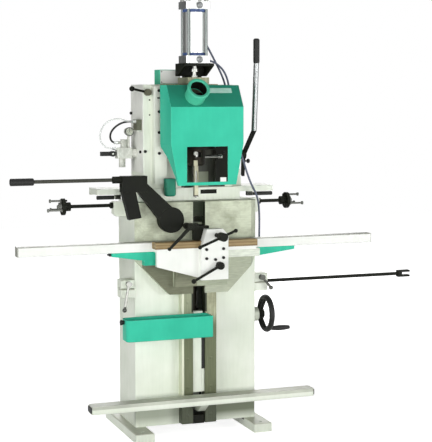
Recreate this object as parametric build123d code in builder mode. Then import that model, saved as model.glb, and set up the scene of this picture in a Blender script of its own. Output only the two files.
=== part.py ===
from build123d import *
import math
import os

# Hollow chisel mortiser on a floor stand, in millimetres.
# X runs to the operator's right, Y runs away from the operator and Z is up.
# The origin is on the floor, midway between the four anchor holes.

# Fits
slide_gap = 0.3
shaft_gap = 0.05

# Stand
foot_spacing = 568
foot_width = 88
foot_height = 42
anchor_pitch = 440
anchor_dia = 18
anchor_edge = 37
foot_length = anchor_pitch + 2 * anchor_edge
column_width = 584
column_depth = 260
column_top = 1070
column_wall = 8
column_cap = 14
cover_sheet = 3
cover_margin = 24
louvre_length = 120
louvre_height = 8
louvre_pitch = 26
louvre_rows = 7

# Front casting and the two vertical ways below it
casting_thick = 44
casting_width = 508
casting_corner_z = 768
casting_bottom = 652
casting_bottom_width = 280
slot_width = 58
groove_depth = 30
groove_start = 1000
way_width = 55
way_bottom = 48
way_bolt_dia = 9
way_bolt_head_dia = 15
way_bolts = 5

# Elevating screw, bevel gears and handwheel
screw_y = -95
screw_dia = 24
journal_dia = 20
screw_low = 460
screw_high = 905
bearing_thick = 24
gear_z = 526
gear_radius = 30
gear_face = 10
gear_teeth = 16
wheel_x = 362
wheel_radius = 76
rim_radius = 11
rim_flat = 8.5
wheel_hub_dia = 44
wheel_hub_length = 30
spoke_dia = 13
spoke_angles = (90, 270)
crank_radius = 76
crank_angle = 242
crank_pin_dia = 10
crank_grip_dia = 25
crank_grip_length = 90

# Table that rides on the front casting
knee_width = 250
knee_thick = 30
knee_bottom = 690
shelf_left = -220
shelf_right = 262
shelf_thick = 36
table_front = -284
apron_thick = 22
rail_length = 1686
rail_depth = 50
rail_height = 43
rail_bottom = 858
rail_gap = 4
board_width = 482
board_depth = 54
board_thick = 30
board_ledge = 15
arm_left = -423
arm_right = 450
arm_depth = 38
arm_root_height = 40
arm_tip_height = 16
arm_box_length = 54
arm_box_height = 62
tongue_bottom = 700
tongue_top = 850
keeper_width = 110
keeper_thick = 12
nut_bottom = 715
nut_top = 775

# Vise on the table's front
vise_x = 34
vise_bottom = 731
vise_shoulder_z = 867
vise_top = 958
vise_thick = 28
vise_overhang = 16
vise_screw_z = 930
vise_screw_dia = 20
vise_neck_dia = 14
tommy_y = -385
tommy_hub_dia = 38
tommy_hub_length = 44
tommy_dia = 12
tommy_left = 112
tommy_right = 68
tommy_tilt = 22
jaw_left = -56
jaw_right = 66
jaw_step_x = 16
jaw_step_z = 946
stud_x = -93
stud_z = 972
jaw_front = -262
jaw_thick = 24
jaw_bottom = 906
jaw_top = 969
jaw_lever_reach = 136
jaw_lever_tilt = 224
lock_x = 46
lock_z = 795
lock_hub_dia = 34
lock_reach = 145
lock_tilt = 205

# Tool tray
tray_left = -368
tray_right = 35
tray_bottom = 462
tray_top = 560
tray_depth = 88
tray_sheet = 3
tray_corner = 22

# Length stops on the column's sides
stop_y = -95
stop_z = 681
stop_block_length = 63
stop_block_depth = 70
stop_block_height = 82
stop_rod_dia = 16
stop_rod_inner = 240
stop_rod_outer = 1056
stop_fork_length = 62
clamp_hub_dia = 26
clamp_reach = 62

# Traverse stop turrets
turret_z = 1050
turret_block_length = 64
turret_block_depth = 44
turret_block_height = 68
turret_rod_dia = 16
turret_disc_dia = 76
turret_disc_thick = 14
turret_hub_dia = 40
turret_hub_length = 26
turret_left_x = 580
turret_right_x = 496
turret_screw_dia = 9
turret_screw_circle = 27
turret_screw_lengths = (70, 84, 62)

# Foot pedal
pedal_width = 1066
pedal_front = -275
pedal_depth = 70
pedal_height = 36
pedal_top = 190
pedal_wall = 6
pedal_arm_width = 34
pivot_y = -60
pivot_z = 118
pivot_dia = 18
link_y = -110
link_dia = 9
valve_bottom = 395
valve_top = 455

# Head carriage on the dovetail bed
head_x = -25
bed_half = 230
bed_y = -20
bed_height = 34
bed_top_half = 65
bed_bottom_half = 45
carriage_lift = 2
carriage_front = -115
carriage_back = 75
carriage_top = 1130
carriage_wing = 425
wing_front = -80
wing_back = 60
wing_thick = 32
traverse_rack_y = 56
traverse_rack_width = 20
stop_bar_z = 1086
stop_bar_y = 0
stop_bar_dia = 16
stop_bar_end = 428.5

# Traverse lever
boss_x = -147
boss_z = 996
boss_dia = 116
boss_thick = 42
bush_flange = 14
traverse_shaft_dia = 30
traverse_radius = 79
traverse_pitch = 12.566
lever_y = -215
lever_rod_dia = 16
lever_rod_z = 1180
lever_collar_dia = 31
lever_grip_dia = 32
lever_grip_length = 103
lever_rod_end = -868

# Upright and ram
upright_width = 430
upright_front = -100
upright_depth = 195
upright_top = 1597
upright_wall = 12
ram_width = 266
ram_thick = 25.7
ram_bottom = 1265
ram_top = 1600
keep_lip = 18
keep_spacer = 42
keep_thick = 18
keep_bottom = 1150

# Spindle, motor and chisel
spindle_x = -30
spindle_y = -215
motor_dia = 176
motor_wall = 8
motor_bottom = 1310
motor_top = 1560
motor_shaft_dia = 28
rotor_dia = 104
rotor_bottom = 1360
rotor_top = 1520
holder_top = 1310
holder_bottom = 1236
holder_dia = 84
holder_bore_dia = 50
chuck_dia = 42
chuck_bottom = 1268
chisel_side = 18
chisel_bore = 13
chisel_tip = 1095
chisel_top = 1262
auger_dia = 11.6

# Hood over the motor
hood_x = -22.5
hood_width = 336
hood_bottom_width = 268
hood_front = -352
hood_depth = 155
hood_bottom_depth = 18
hood_bottom = 1157
hood_waist = 1335
hood_brow = 1499
hood_top = 1594
hood_roof_run = 62
hood_sheet = 2.5
window_left = -118
window_right = 72
window_bottom = 1171
window_top = 1326
deck_z = 1534
deck_thick = 6
port_dia = 90
port_wall = 3
port_length = 66
port_x = -72
port_z = 1543

# Air cylinder
cylinder_y = -183
cap_side = 114
cap_height = 34
cylinder_bottom = 1690
tube_length = 204
tube_dia = 102
tube_wall = 4
tie_rod_dia = 12
tie_rod_pitch = 84
piston_rod_dia = 25
piston_thick = 40
piston_top_gap = 6
coupling_dia = 36
coupling_neck_dia = 19
coupling_foot_dia = 30
saddle_arm_thick = 28
saddle_arm_half = 50
saddle_arm_front = -240
bracket_width = 140
bracket_plate = 12
bracket_front = -250
bracket_back = -126
cheek_inside = 116
bracket_cheek = 12
cheek_bottom = 1634
cheek_foot_y = -150
pillar_left = -40
pillar_right = 40
pillar_back = -55

# Feed lever
feed_y = 8
feed_z = 1272
feed_radius = 100
feed_pitch = 15.708
feed_rack_width = 20
feed_shaft_dia = 24
feed_x = 287
feed_arm_thick = 14
feed_arm_half = 10
feed_tube_dia = 25
feed_grip_dia = 29
feed_grip_length = 104
feed_bend_y = -122
feed_bend_z = 1374
feed_top_y = -150
feed_top_z = 1703
feed_tail_z = 1168

# Air fittings and hoses
hose_dia = 9
clear_hose_dia = 6
terminal_width = 100
terminal_depth = 76
terminal_height = 68

# Worked out from the sizes above
column_front = -column_depth / 2
casting_front = column_front - casting_thick
column_side = column_width / 2
slot_half = slot_width / 2
upright_left = head_x - upright_width / 2
upright_right = head_x + upright_width / 2
upright_back = upright_front + upright_depth
carriage_bottom = column_top + carriage_lift
bed_top = column_top + bed_height
rail_back = casting_front - rail_gap
rail_front = rail_back - rail_depth
rail_top = rail_bottom + rail_height
board_bottom = rail_bottom + board_ledge
knee_back = casting_front - slide_gap
tongue_end = column_front + slide_gap
ram_back = upright_front - slide_gap
ram_front = ram_back - ram_thick
cylinder_top = cylinder_bottom + 2 * cap_height + tube_length
feed_rack_y = feed_y - feed_radius
bush_front = casting_front - bush_flange
lever_back = bush_front - slide_gap


def save(piece, name):
    """Label a finished piece and write it to its own file."""
    piece.part.label = name
    export_step(piece.part, f"parts/{name}.step")


def block(x0, x1, y0, y1, z0, z1, mode=Mode.ADD):
    """A box between two opposite corners."""
    with Locations(((x0 + x1) / 2, (y0 + y1) / 2, (z0 + z1) / 2)):
        Box(abs(x1 - x0), abs(y1 - y0), abs(z1 - z0), mode=mode)


def rod(start, direction, radius, length, mode=Mode.ADD):
    """A round bar that starts at a point and runs along a direction."""
    with Locations(Plane(origin=start, z_dir=direction)):
        Cylinder(radius, length, align=(Align.CENTER, Align.CENTER, Align.MIN), mode=mode)


def bar(start, end, radius, mode=Mode.ADD):
    """A round bar between two points."""
    run = Vector(*end) - Vector(*start)
    rod(start, run.normalized(), radius, run.length, mode=mode)


def knobbed_bar(start, end, radius, knob_radius):
    """A round bar from start to end with a ball centred on its end, turned as one profile."""
    run = Vector(*end) - Vector(*start)
    along = run.normalized()
    across = along.cross(Vector(0, 1, 0) if abs(along.Y) < 0.9 else Vector(1, 0, 0)).normalized()
    neck = run.length - math.sqrt(knob_radius**2 - radius**2)
    with BuildSketch(Plane(origin=start, x_dir=across, z_dir=across.cross(along))) as half:
        with BuildLine():
            Polyline((0, run.length + knob_radius), (0, 0), (radius, 0), (radius, neck))
            ThreePointArc((radius, neck), (knob_radius, run.length), (0, run.length + knob_radius))
        make_face()
    revolve(half.sketch, axis=Axis(start, along))


def outline(plane, points):
    """A flat face with straight sides through the points, given in the plane's own axes."""
    with BuildSketch(plane) as face:
        with BuildLine():
            Polyline(*points, close=True)
        make_face()
    return face.sketch


def plate_xz(points, y_front, thick, mode=Mode.ADD):
    """A plate whose outline is in X and Z, with its front face at y_front."""
    extrude(outline(Plane.XZ.offset(-(y_front + thick)), points), amount=thick, mode=mode)


def plate_yz(points, x_low, thick, mode=Mode.ADD):
    """A plate whose outline is in Y and Z, from x_low towards the right."""
    extrude(outline(Plane.YZ.offset(x_low), points), amount=thick, mode=mode)


def polar(radius, degrees):
    """A point at a radius and an angle."""
    return (radius * math.cos(math.radians(degrees)), radius * math.sin(math.radians(degrees)))


def hose(points, diameter):
    """A tube along straight runs joined by tangent arcs, each as large as its runs allow."""
    corners = [Vector(*p) for p in points]
    runs = [b - a for a, b in zip(corners, corners[1:])]
    radii = []
    for before, after in zip(runs, runs[1:]):
        turn = math.radians(before.get_angle(after))
        radii.append(0.45 * min(before.length, after.length) / math.tan(turn / 2))
    print("hose radii", [round(r, 1) for r in radii])
    with BuildLine() as route:
        FilletPolyline(*points, radius=radii)
    with BuildSketch(Plane(origin=points[0], z_dir=runs[0].normalized())) as section:
        Circle(diameter / 2)
    sweep(section.sketch, path=route.line)


def tooth_sizes(pitch):
    """Height above and below the pitch line, and half widths at root and tip, of a slack tooth."""
    return 0.22 * pitch, 0.30 * pitch, 0.27 * pitch, 0.13 * pitch


def toothed_sector(plane, radius, pitch, contact, first, last, hub_radius):
    """A gear sector. Its teeth are counted from the angle where it meets its rack, which falls in a gap."""
    above, below, root_half, tip_half = tooth_sizes(pitch)
    step = math.degrees(pitch / radius)
    root = radius - below
    low, high = contact + first * step, contact + last * step
    with BuildSketch(plane) as gear:
        with BuildLine():
            Line((0, 0), polar(root, low))
            CenterArc((0, 0), root, low, high - low)
            Line(polar(root, high), (0, 0))
        make_face()
        Circle(hub_radius)
        for index in range(first, last):
            with Locations(Location((0, 0, 0), (0, 0, contact + (index + 0.5) * step))):
                Polygon((root - 1, -root_half), (radius + above, -tip_half), (radius + above, tip_half),
                        (root - 1, root_half), align=None)
    return gear.sketch


# The two feet: flat skids across the machine, each with an anchor hole near both ends
with BuildPart() as feet:
    for side in (-1, 1):
        x = side * foot_spacing / 2
        with BuildSketch(Plane.XY):
            with Locations((x, 0)):
                RectangleRounded(foot_width, foot_length, 5)
            with Locations((x, anchor_pitch / 2), (x, -anchor_pitch / 2)):
                Circle(anchor_dia / 2, mode=Mode.SUBTRACT)
    extrude(amount=foot_height)
    chamfer(feet.faces().group_by(Axis.Z)[-1].edges().filter_by(Axis.X), length=4)
save(feet, "feet")

# The column: a welded box, open below and behind, with openings behind the ways for the pedal and the table
column_opening = 120
pedal_opening_top = 205
screw_opening_low = 440
shaft_hole_dia = 34
with BuildPart() as column_shell:
    block(-column_side, column_side, column_front, -column_front, foot_height, column_top)
    fillet(column_shell.edges().filter_by(Axis.Z), radius=4)
    inner = column_side - column_wall
    block(-inner, inner, column_front + column_wall, -column_front + 1, foot_height - 1,
          column_top - column_cap, mode=Mode.SUBTRACT)
    for low, high in ((foot_height - 1, pedal_opening_top), (screw_opening_low, groove_start)):
        block(-column_opening / 2, column_opening / 2, column_front - 1, column_front + column_wall + 1,
              low, high, mode=Mode.SUBTRACT)
    rod((boss_x, column_front - 1, boss_z), (0, 1, 0), shaft_hole_dia / 2, column_wall + 2,
        mode=Mode.SUBTRACT)
    rod((0, screw_y, gear_z), (1, 0, 0), shaft_hole_dia / 2, column_side + 1, mode=Mode.SUBTRACT)
    rod((-column_side - 1, stop_y, stop_z), (1, 0, 0), stop_rod_dia / 2 + 2, column_width + 2,
        mode=Mode.SUBTRACT)
    sector_slot = 2 * traverse_radius * math.sin(math.radians(50))
    block(boss_x - sector_slot / 2, boss_x + sector_slot / 2,
          traverse_rack_y - traverse_rack_width / 2 - 3, traverse_rack_y + traverse_rack_width / 2 + 3,
          column_top - column_cap - 1, column_top + 1, mode=Mode.SUBTRACT)
save(column_shell, "column_shell")

# The louvred sheet that closes the column's back
with BuildPart() as back_cover:
    block(-column_side + cover_margin / 4, column_side - cover_margin / 4, -column_front,
          -column_front + cover_sheet, foot_height + cover_margin, column_top - cover_margin)
    with BuildSketch(Plane.XZ.offset(column_front)):
        with Locations((0, column_top - 8 * louvre_pitch)):
            with GridLocations(2 * louvre_length, louvre_pitch, 2, louvre_rows):
                SlotOverall(louvre_length, louvre_height)
        with Locations((0, foot_height + 6 * louvre_pitch)):
            with GridLocations(2 * louvre_length, louvre_pitch, 2, louvre_rows):
                SlotOverall(louvre_length, louvre_height)
    extrude(amount=cover_sheet, both=True, mode=Mode.SUBTRACT)
save(back_cover, "back_cover")

# The front casting: six-sided, with bevelled flanks and a slot for the table's tongue
with BuildPart() as front_casting:
    slope = (casting_corner_z - casting_bottom) / ((casting_width - casting_bottom_width) / 2)
    flank_z = casting_corner_z + slope * (column_side - casting_width / 2)
    half = casting_bottom_width / 2
    plate_xz(
        [(-column_side, column_top), (-column_side, flank_z), (-half, casting_bottom),
         (half, casting_bottom), (column_side, flank_z), (column_side, column_top)],
        casting_front, casting_thick)
    for side in (-1, 1):
        edge = side * casting_width / 2
        wedge = [(edge, casting_front - 1), (edge, casting_front),
                 (side * column_side, column_front), (side * (column_side + 1), casting_front - 1)]
        extrude(outline(Plane.XY.offset(casting_bottom), wedge), amount=column_top - casting_bottom + 1,
                mode=Mode.SUBTRACT)
    block(-slot_half, slot_half, casting_front - 1, column_front + 1, casting_bottom - 1, groove_start,
          mode=Mode.SUBTRACT)
    block(-slot_half, slot_half, casting_front - 1, casting_front + groove_depth, groove_start - 1,
          column_top + 1, mode=Mode.SUBTRACT)
    rod((boss_x, casting_front - 1, boss_z), (0, 1, 0), traverse_shaft_dia / 2 + 6, casting_thick + 2,
        mode=Mode.SUBTRACT)
save(front_casting, "front_casting")

# Two hardened ways, bolted to the column below the casting
with BuildPart() as slideways:
    for side in (-1, 1):
        near, far = side * slot_half, side * (slot_half + way_width)
        block(near, far, casting_front, column_front, way_bottom, casting_bottom)
        first = way_bottom + 40
        pitch = (casting_bottom - way_bottom - 80) / (way_bolts - 1)
        for index in range(way_bolts):
            centre = ((near + far) / 2, casting_front, first + index * pitch)
            rod(centre, (0, 1, 0), way_bolt_head_dia / 2, 10, mode=Mode.SUBTRACT)
            rod(centre, (0, 1, 0), way_bolt_dia / 2, casting_thick + 1, mode=Mode.SUBTRACT)
    chamfer(slideways.edges().filter_by(Axis.Z).group_by(Axis.Y)[0], length=2)
save(slideways, "slideways")

# The dovetail bed on top of the column
with BuildPart() as bed_way:
    plate_yz(
        [(bed_y - bed_bottom_half, column_top), (bed_y + bed_bottom_half, column_top),
         (bed_y + bed_top_half, bed_top), (bed_y - bed_top_half, bed_top)],
        -bed_half, 2 * bed_half)
save(bed_way, "bed_way")

# Bearings: two for the elevating screw, a flange for the handwheel's shaft, and the traverse lever's
# bush in the casting with its rear bearing under the column's cap
bearing_half = column_opening / 2 + 25
bearing_y = 10
with BuildPart() as bearing_blocks:
    for low in (screw_low, screw_high - bearing_thick):
        block(-bearing_half, bearing_half, column_front + column_wall, screw_y + 32, low,
              low + bearing_thick)
        rod((0, screw_y, low - 1), (0, 0, 1), journal_dia / 2 + shaft_gap, bearing_thick + 2,
            mode=Mode.SUBTRACT)
    rod((column_side, screw_y, gear_z), (1, 0, 0), 33, bearing_thick)
    rod((column_side - column_wall, screw_y, gear_z), (1, 0, 0), shaft_hole_dia / 2 - slide_gap,
        column_wall)
    rod((column_side - column_wall - 1, screw_y, gear_z), (1, 0, 0), journal_dia / 2 + shaft_gap,
        column_wall + bearing_thick + 2, mode=Mode.SUBTRACT)
    rod((boss_x, bush_front, boss_z), (0, 1, 0), 45, bush_flange)
    rod((boss_x, casting_front, boss_z), (0, 1, 0), traverse_shaft_dia / 2 + 6 - shaft_gap, casting_thick)
    block(boss_x - 42, boss_x + 42, bearing_y, bearing_y + bearing_thick, boss_z - 36,
          column_top - column_cap)
    rod((boss_x, bush_front - 1, boss_z), (0, 1, 0), traverse_shaft_dia / 2 + shaft_gap,
        bearing_y + bearing_thick - bush_front + 2, mode=Mode.SUBTRACT)
save(bearing_blocks, "bearing_blocks")


def bevel(plane, gap_first):
    """A straight bevel gear of 45 degrees. The plane is at its apex and the gear lies along the normal."""
    half_step = 180 / gear_teeth
    large = []
    for index in range(gear_teeth):
        centre = 2 * half_step * index + (half_step if gap_first else 0)
        large += [polar(gear_radius - 2.6, centre - 0.55 * half_step),
                  polar(gear_radius + 2, centre - 0.3 * half_step),
                  polar(gear_radius + 2, centre + 0.3 * half_step), polar(gear_radius - 2.6,
                          centre + 0.55 * half_step)]
    ratio = (gear_radius - gear_face) / gear_radius
    small = [(x * ratio, y * ratio) for x, y in large]
    loft([outline(plane.offset(gear_radius - gear_face), small), outline(plane.offset(gear_radius), large)],
         ruled=True)


# The elevating screw, with its bevel gear keyed on above the lower bearing
with BuildPart() as elevating_screw:
    bevel(Plane(origin=(0, screw_y, gear_z), x_dir=(1, 0, 0), z_dir=(0, 0, 1)), gap_first=False)
    rod((0, screw_y, gear_z + gear_radius), (0, 0, 1), 22, 12)
    rod((0, screw_y, screw_low - 6), (0, 0, 1), journal_dia / 2, screw_high - screw_low + 12)
    rod((0, screw_y, gear_z + gear_radius), (0, 0, 1), screw_dia / 2,
        screw_high - bearing_thick - 1 - gear_z - gear_radius)
    rod((0, screw_y, screw_low + bearing_thick + slide_gap), (0, 0, 1), 13, 6)
save(elevating_screw, "elevating_screw")

# The handwheel: a dished wheel, its hub close to the column and its rim farther out on three spokes, its shaft and the pinion on the shaft's end
with BuildPart() as handwheel:
    with BuildSketch(Plane(origin=(wheel_x, screw_y, gear_z), x_dir=(0, 1, 0), z_dir=(0, 0, -1))):
        with Locations((wheel_radius, 0)):
            Circle(rim_radius)
        with Locations((wheel_radius, rim_flat)):
            Rectangle(4 * rim_radius, rim_radius, align=(Align.CENTER, Align.MIN), mode=Mode.SUBTRACT)
    revolve(axis=Axis((wheel_x, screw_y, gear_z), (1, 0, 0)))
    hub_start = column_side + bearing_thick + 1
    rod((hub_start, screw_y, gear_z), (1, 0, 0), wheel_hub_dia / 2, wheel_hub_length)
    for angle in spoke_angles:
        across, up = polar(wheel_radius, angle)
        bar((hub_start + wheel_hub_length / 2, screw_y, gear_z), (wheel_x, screw_y + across, gear_z + up),
            spoke_dia / 2)
    across, up = polar(crank_radius, crank_angle)
    crank_y, crank_z = screw_y + across, gear_z + up
    rod((wheel_x + rim_flat - 2, crank_y, crank_z), (1, 0, 0), crank_pin_dia / 2 + 1,
        rim_radius + 5 - rim_flat)
    rod((wheel_x + rim_flat, crank_y, crank_z), (1, 0, 0), crank_pin_dia / 2,
        rim_radius + crank_grip_length + 4 - rim_flat)
    bevel(Plane(origin=(0, screw_y, gear_z), x_dir=(0, 0, 1), z_dir=(1, 0, 0)), gap_first=True)
    rod((gear_radius, screw_y, gear_z), (1, 0, 0), journal_dia / 2, hub_start + 2 - gear_radius)
    rod((gear_radius, screw_y, gear_z), (1, 0, 0), 20, 12)
save(handwheel, "handwheel")

# The turning grip on the handwheel's crank pin
with BuildPart() as crank_handle:
    grip_start = wheel_x + rim_radius + 3.5
    with BuildSketch(Plane(origin=(grip_start, crank_y, crank_z), x_dir=(0, 1, 0), z_dir=(0, 0, -1))):
        with BuildLine():
            inner_r, outer_r = crank_pin_dia / 2 + shaft_gap, crank_grip_dia / 2
            Line((inner_r, 0), (outer_r * 0.72, 0))
            ThreePointArc((outer_r * 0.72, 0), (outer_r, crank_grip_length * 0.55),
                          (outer_r * 0.66, crank_grip_length))
            Line((outer_r * 0.66, crank_grip_length), (inner_r, crank_grip_length))
            Line((inner_r, crank_grip_length), (inner_r, 0))
        make_face()
    revolve(axis=Axis((grip_start, crank_y, crank_z), (1, 0, 0)))
save(crank_handle, "crank_handle")

# The foot pedal: an inverted channel across the front, on an arm that runs back between the ways
pedal_back = pedal_front + pedal_depth
pedal_bottom = pedal_top - pedal_height
with BuildPart() as pedal_bar:
    half = pedal_width / 2
    block(-half, half, pedal_front, pedal_back, pedal_bottom, pedal_top)
    fillet(pedal_bar.edges().filter_by(Axis.Z), radius=12)
    block(-half + pedal_wall, half - pedal_wall, pedal_front + pedal_wall, pedal_back - pedal_wall,
          pedal_bottom - 1, pedal_top - pedal_wall, mode=Mode.SUBTRACT)
    plate_yz(
        [(pedal_front + 8, pedal_top - pedal_wall), (pedal_back - 8, pedal_top - pedal_wall),
         (pedal_back - 6, pedal_bottom - 6), (pivot_y, pivot_z + 17), (pivot_y + 14, pivot_z + 8),
         (pivot_y + 14, pivot_z - 8), (pivot_y, pivot_z - 17), (pedal_back, pivot_z - 6),
         (pedal_front + 8, pedal_bottom + 4)],
        -pedal_arm_width / 2, pedal_arm_width)
    rod((-pedal_arm_width, pivot_y, pivot_z), (1, 0, 0), pivot_dia / 2 + shaft_gap, 2 * pedal_arm_width,
        mode=Mode.SUBTRACT)
    rod((pedal_arm_width / 2, link_y, pivot_z), (1, 0, 0), link_dia / 2, 18)
save(pedal_bar, "pedal_bar")

# The pedal's pivot, two blocks on the column's front wall joined by the pin, and the foot valve above
pivot_block_far = column_opening / 2 + 25
pivot_block_near = pedal_arm_width / 2 + 20
link_x = pedal_arm_width / 2 + 9
with BuildPart() as pedal_pivot:
    for side in (-1, 1):
        near = pivot_block_near if side > 0 else pivot_block_near - 15
        block(side * near, side * pivot_block_far, column_front + column_wall, pivot_y + 20,
              pivot_z - 18, pivot_z + 18)
    rod((-pivot_block_near, pivot_y, pivot_z), (1, 0, 0), pivot_dia / 2, 2 * pivot_block_near)
    block(link_x - 16, bearing_half, column_front + column_wall, link_y + 16, valve_bottom, valve_top)
    rod((link_x, link_y, valve_bottom - 1), (0, 0, 1), link_dia / 2 + slide_gap, 41, mode=Mode.SUBTRACT)
save(pedal_pivot, "pedal_pivot")

# The link from the pedal's arm up to the foot valve
with BuildPart() as pedal_link:
    block(link_x - 6, link_x + 6, link_y - 11, link_y + 11, pivot_z - 12, pivot_z + 14)
    rod((link_x - 7, link_y, pivot_z), (1, 0, 0), link_dia / 2 + 1.6, 14, mode=Mode.SUBTRACT)
    rod((link_x, link_y, pivot_z + 13), (0, 0, 1), link_dia / 2, valve_bottom + 28 - pivot_z - 13)
save(pedal_link, "pedal_link")

# The tool tray hangs on the ways, open at the top, with a knob on its end
with BuildPart() as tool_tray:
    tray_front = casting_front - tray_depth
    block(tray_left, tray_right, tray_front, casting_front, tray_bottom, tray_top)
    uprights = tool_tray.edges().filter_by(Axis.Z)
    fillet(uprights.group_by(Axis.X)[0], radius=tray_corner)
    fillet(tool_tray.faces().sort_by(Axis.Z)[0].edges(), radius=tray_sheet * 2)
    with BuildSketch(Plane.XY.offset(tray_bottom + tray_sheet)):
        with Locations(((tray_left + tray_right) / 2, casting_front - tray_depth / 2)):
            RectangleRounded(tray_right - tray_left - 2 * tray_sheet, tray_depth - 2 * tray_sheet,
                             tray_corner - tray_sheet)
    extrude(amount=tray_top - tray_bottom, mode=Mode.SUBTRACT)
    rod((tray_left, casting_front - tray_depth / 2, tray_top - 13), (-1, 0, 0), 9, 14)
    chamfer(tool_tray.edges().group_by(Axis.X)[0], length=2)
save(tool_tray, "tool_tray")

# Clamp blocks for the length stops, split towards the front
stop_block_front = column_front
with BuildPart() as stop_brackets:
    for side in (-1, 1):
        near, far = side * column_side, side * (column_side + stop_block_length)
        block(near, far, stop_block_front, stop_block_front + stop_block_depth,
              stop_z - stop_block_height / 2, stop_z + stop_block_height / 2)
        rod((near - side, stop_y, stop_z), (side, 0, 0), stop_rod_dia / 2 + shaft_gap,
            stop_block_length + 2,
            mode=Mode.SUBTRACT)
        block(near, far, stop_block_front - 1, stop_y, stop_z - 1.5, stop_z + 1.5, mode=Mode.SUBTRACT)
    fillet(stop_brackets.edges().filter_by(Axis.X).group_by(Axis.Y)[0], radius=5)
save(stop_brackets, "stop_brackets")

# The stop rod with its forked end, in the right clamp
with BuildPart() as stop_rod:
    rod((stop_rod_inner, stop_y, stop_z), (1, 0, 0), stop_rod_dia / 2, stop_rod_outer - stop_rod_inner + 4)
    block(stop_rod_outer, stop_rod_outer + stop_fork_length, stop_y - 13, stop_y + 13, stop_z - 16,
          stop_z + 16)
    block(stop_rod_outer + 20, stop_rod_outer + stop_fork_length + 1, stop_y - 14, stop_y + 14, stop_z - 7,
          stop_z + 7, mode=Mode.SUBTRACT)
save(stop_rod, "stop_rod")


def clamp_lever(piece_x, tilt, reach, name):
    """A ball-ended clamp lever on the front of a stop bracket, turned about an axis along Y."""
    with BuildPart() as lever:
        front = stop_block_front - slide_gap
        rod((piece_x, front, stop_z + 24), (0, -1, 0), clamp_hub_dia / 2, 22)
        across, up = polar(reach, tilt)
        tip = (piece_x + across, front - 26, stop_z + 24 + up)
        knobbed_bar((piece_x, front - 13, stop_z + 24), tip, 6, 10)
    save(lever, name)


clamp_lever(column_side + stop_block_length / 2, 308, clamp_reach, "clamp_lever_right")
clamp_lever(-column_side - stop_block_length / 2, 258, clamp_reach * 1.9, "clamp_lever_left")

# Bearing brackets for the traverse stop turrets
turret_block_bottom = column_top - 2 - turret_block_height
with BuildPart() as turret_brackets:
    for side in (-1, 1):
        near, far = side * column_side, side * (column_side + turret_block_length)
        block(near, far, -turret_block_depth / 2, turret_block_depth / 2, turret_block_bottom,
              column_top - 2)
        rod((near, 0, turret_z), (side, 0, 0), turret_rod_dia / 2 + shaft_gap, turret_block_length + 1,
            mode=Mode.SUBTRACT)
    chamfer(turret_brackets.edges().filter_by(Axis.Y).group_by(Axis.Z)[0], length=12)
save(turret_brackets, "turret_brackets")


def turret(side, disc_x, name):
    """A turret: a disc on a rod that turns in its bracket, with three adjusting screws and lock nuts."""
    with BuildPart() as piece:
        start = column_side + 1.5
        rod((side * start, 0, turret_z), (side, 0, 0), turret_rod_dia / 2,
            disc_x + turret_disc_thick + 20 - start)
        rod((side * (column_side + turret_block_length + slide_gap), 0, turret_z), (side, 0, 0), 14, 12)
        rod((side * disc_x, 0, turret_z), (side, 0, 0), turret_disc_dia / 2, turret_disc_thick)
        rod((side * (disc_x - turret_hub_length), 0, turret_z), (side, 0, 0), turret_hub_dia / 2,
            turret_hub_length + turret_disc_thick + 12)
        for index in range(len(turret_screw_lengths)):
            across, up = polar(turret_screw_circle, 90 + 120 * index)
            rod((side * (disc_x - 1), across, turret_z + up), (side, 0, 0),
                turret_screw_dia / 2 + shaft_gap,
                turret_disc_thick + 2, mode=Mode.SUBTRACT)
            rod((side * (disc_x - turret_hub_length - 1), across, turret_z + up), (side, 0, 0),
                turret_screw_dia / 2 + 4, turret_hub_length + 1, mode=Mode.SUBTRACT)
            rod((side * (disc_x + turret_disc_thick), across, turret_z + up), (side, 0, 0),
                turret_screw_dia / 2 + 5, 30, mode=Mode.SUBTRACT)
        for index, length in enumerate(turret_screw_lengths):
            across, up = polar(turret_screw_circle, 90 + 120 * index)
            centre = (across, turret_z + up)
            rod((side * (disc_x - 12), *centre), (side, 0, 0), turret_screw_dia / 2, length + 12)
            rod((side * (disc_x + length - 7), *centre), (side, 0, 0), 8, 7)
            with BuildSketch(Plane(origin=(side * (disc_x + turret_disc_thick + shaft_gap), *centre),
                                   x_dir=(0, 1, 0), z_dir=(side, 0, 0))) as nut:
                RegularPolygon(8.5, 6)
            extrude(nut.sketch, amount=6)
    save(piece, name)


turret(-1, turret_left_x, "turret_left")
turret(1, turret_right_x, "turret_right")

# The table: a shelf on a saddle whose tongue runs in the casting's slot, with the keeper and nut behind
tongue_half = slot_half - slide_gap
shelf_bottom = rail_bottom - shelf_thick
shelf_front = table_front + apron_thick
with BuildPart() as knee_body:
    block(shelf_left, shelf_right, shelf_front, knee_back, shelf_bottom, rail_bottom)
    block(-knee_width / 2, knee_width / 2, knee_back - knee_thick, knee_back, knee_bottom, shelf_bottom)
    for side in (-1, 1):
        rib_x = side * knee_width / 2 - (12 if side > 0 else 0)
        plate_yz([(knee_back - knee_thick, knee_bottom + 30), (knee_back - knee_thick, shelf_bottom),
                  (shelf_front + 8, shelf_bottom)], rib_x, 12)
    block(-tongue_half, tongue_half, knee_back, tongue_end, tongue_bottom, tongue_top)
    block(-keeper_width / 2, keeper_width / 2, tongue_end + shaft_gap, tongue_end + keeper_thick,
          tongue_bottom + 5,
          tongue_top - 5)
    block(-30, 30, tongue_end + keeper_thick, screw_y + 29, nut_bottom, nut_top)
    rod((0, screw_y, nut_bottom - 1), (0, 0, 1), screw_dia / 2 + shaft_gap, nut_top - nut_bottom + 2,
        mode=Mode.SUBTRACT)
save(knee_body, "knee_body")

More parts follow.
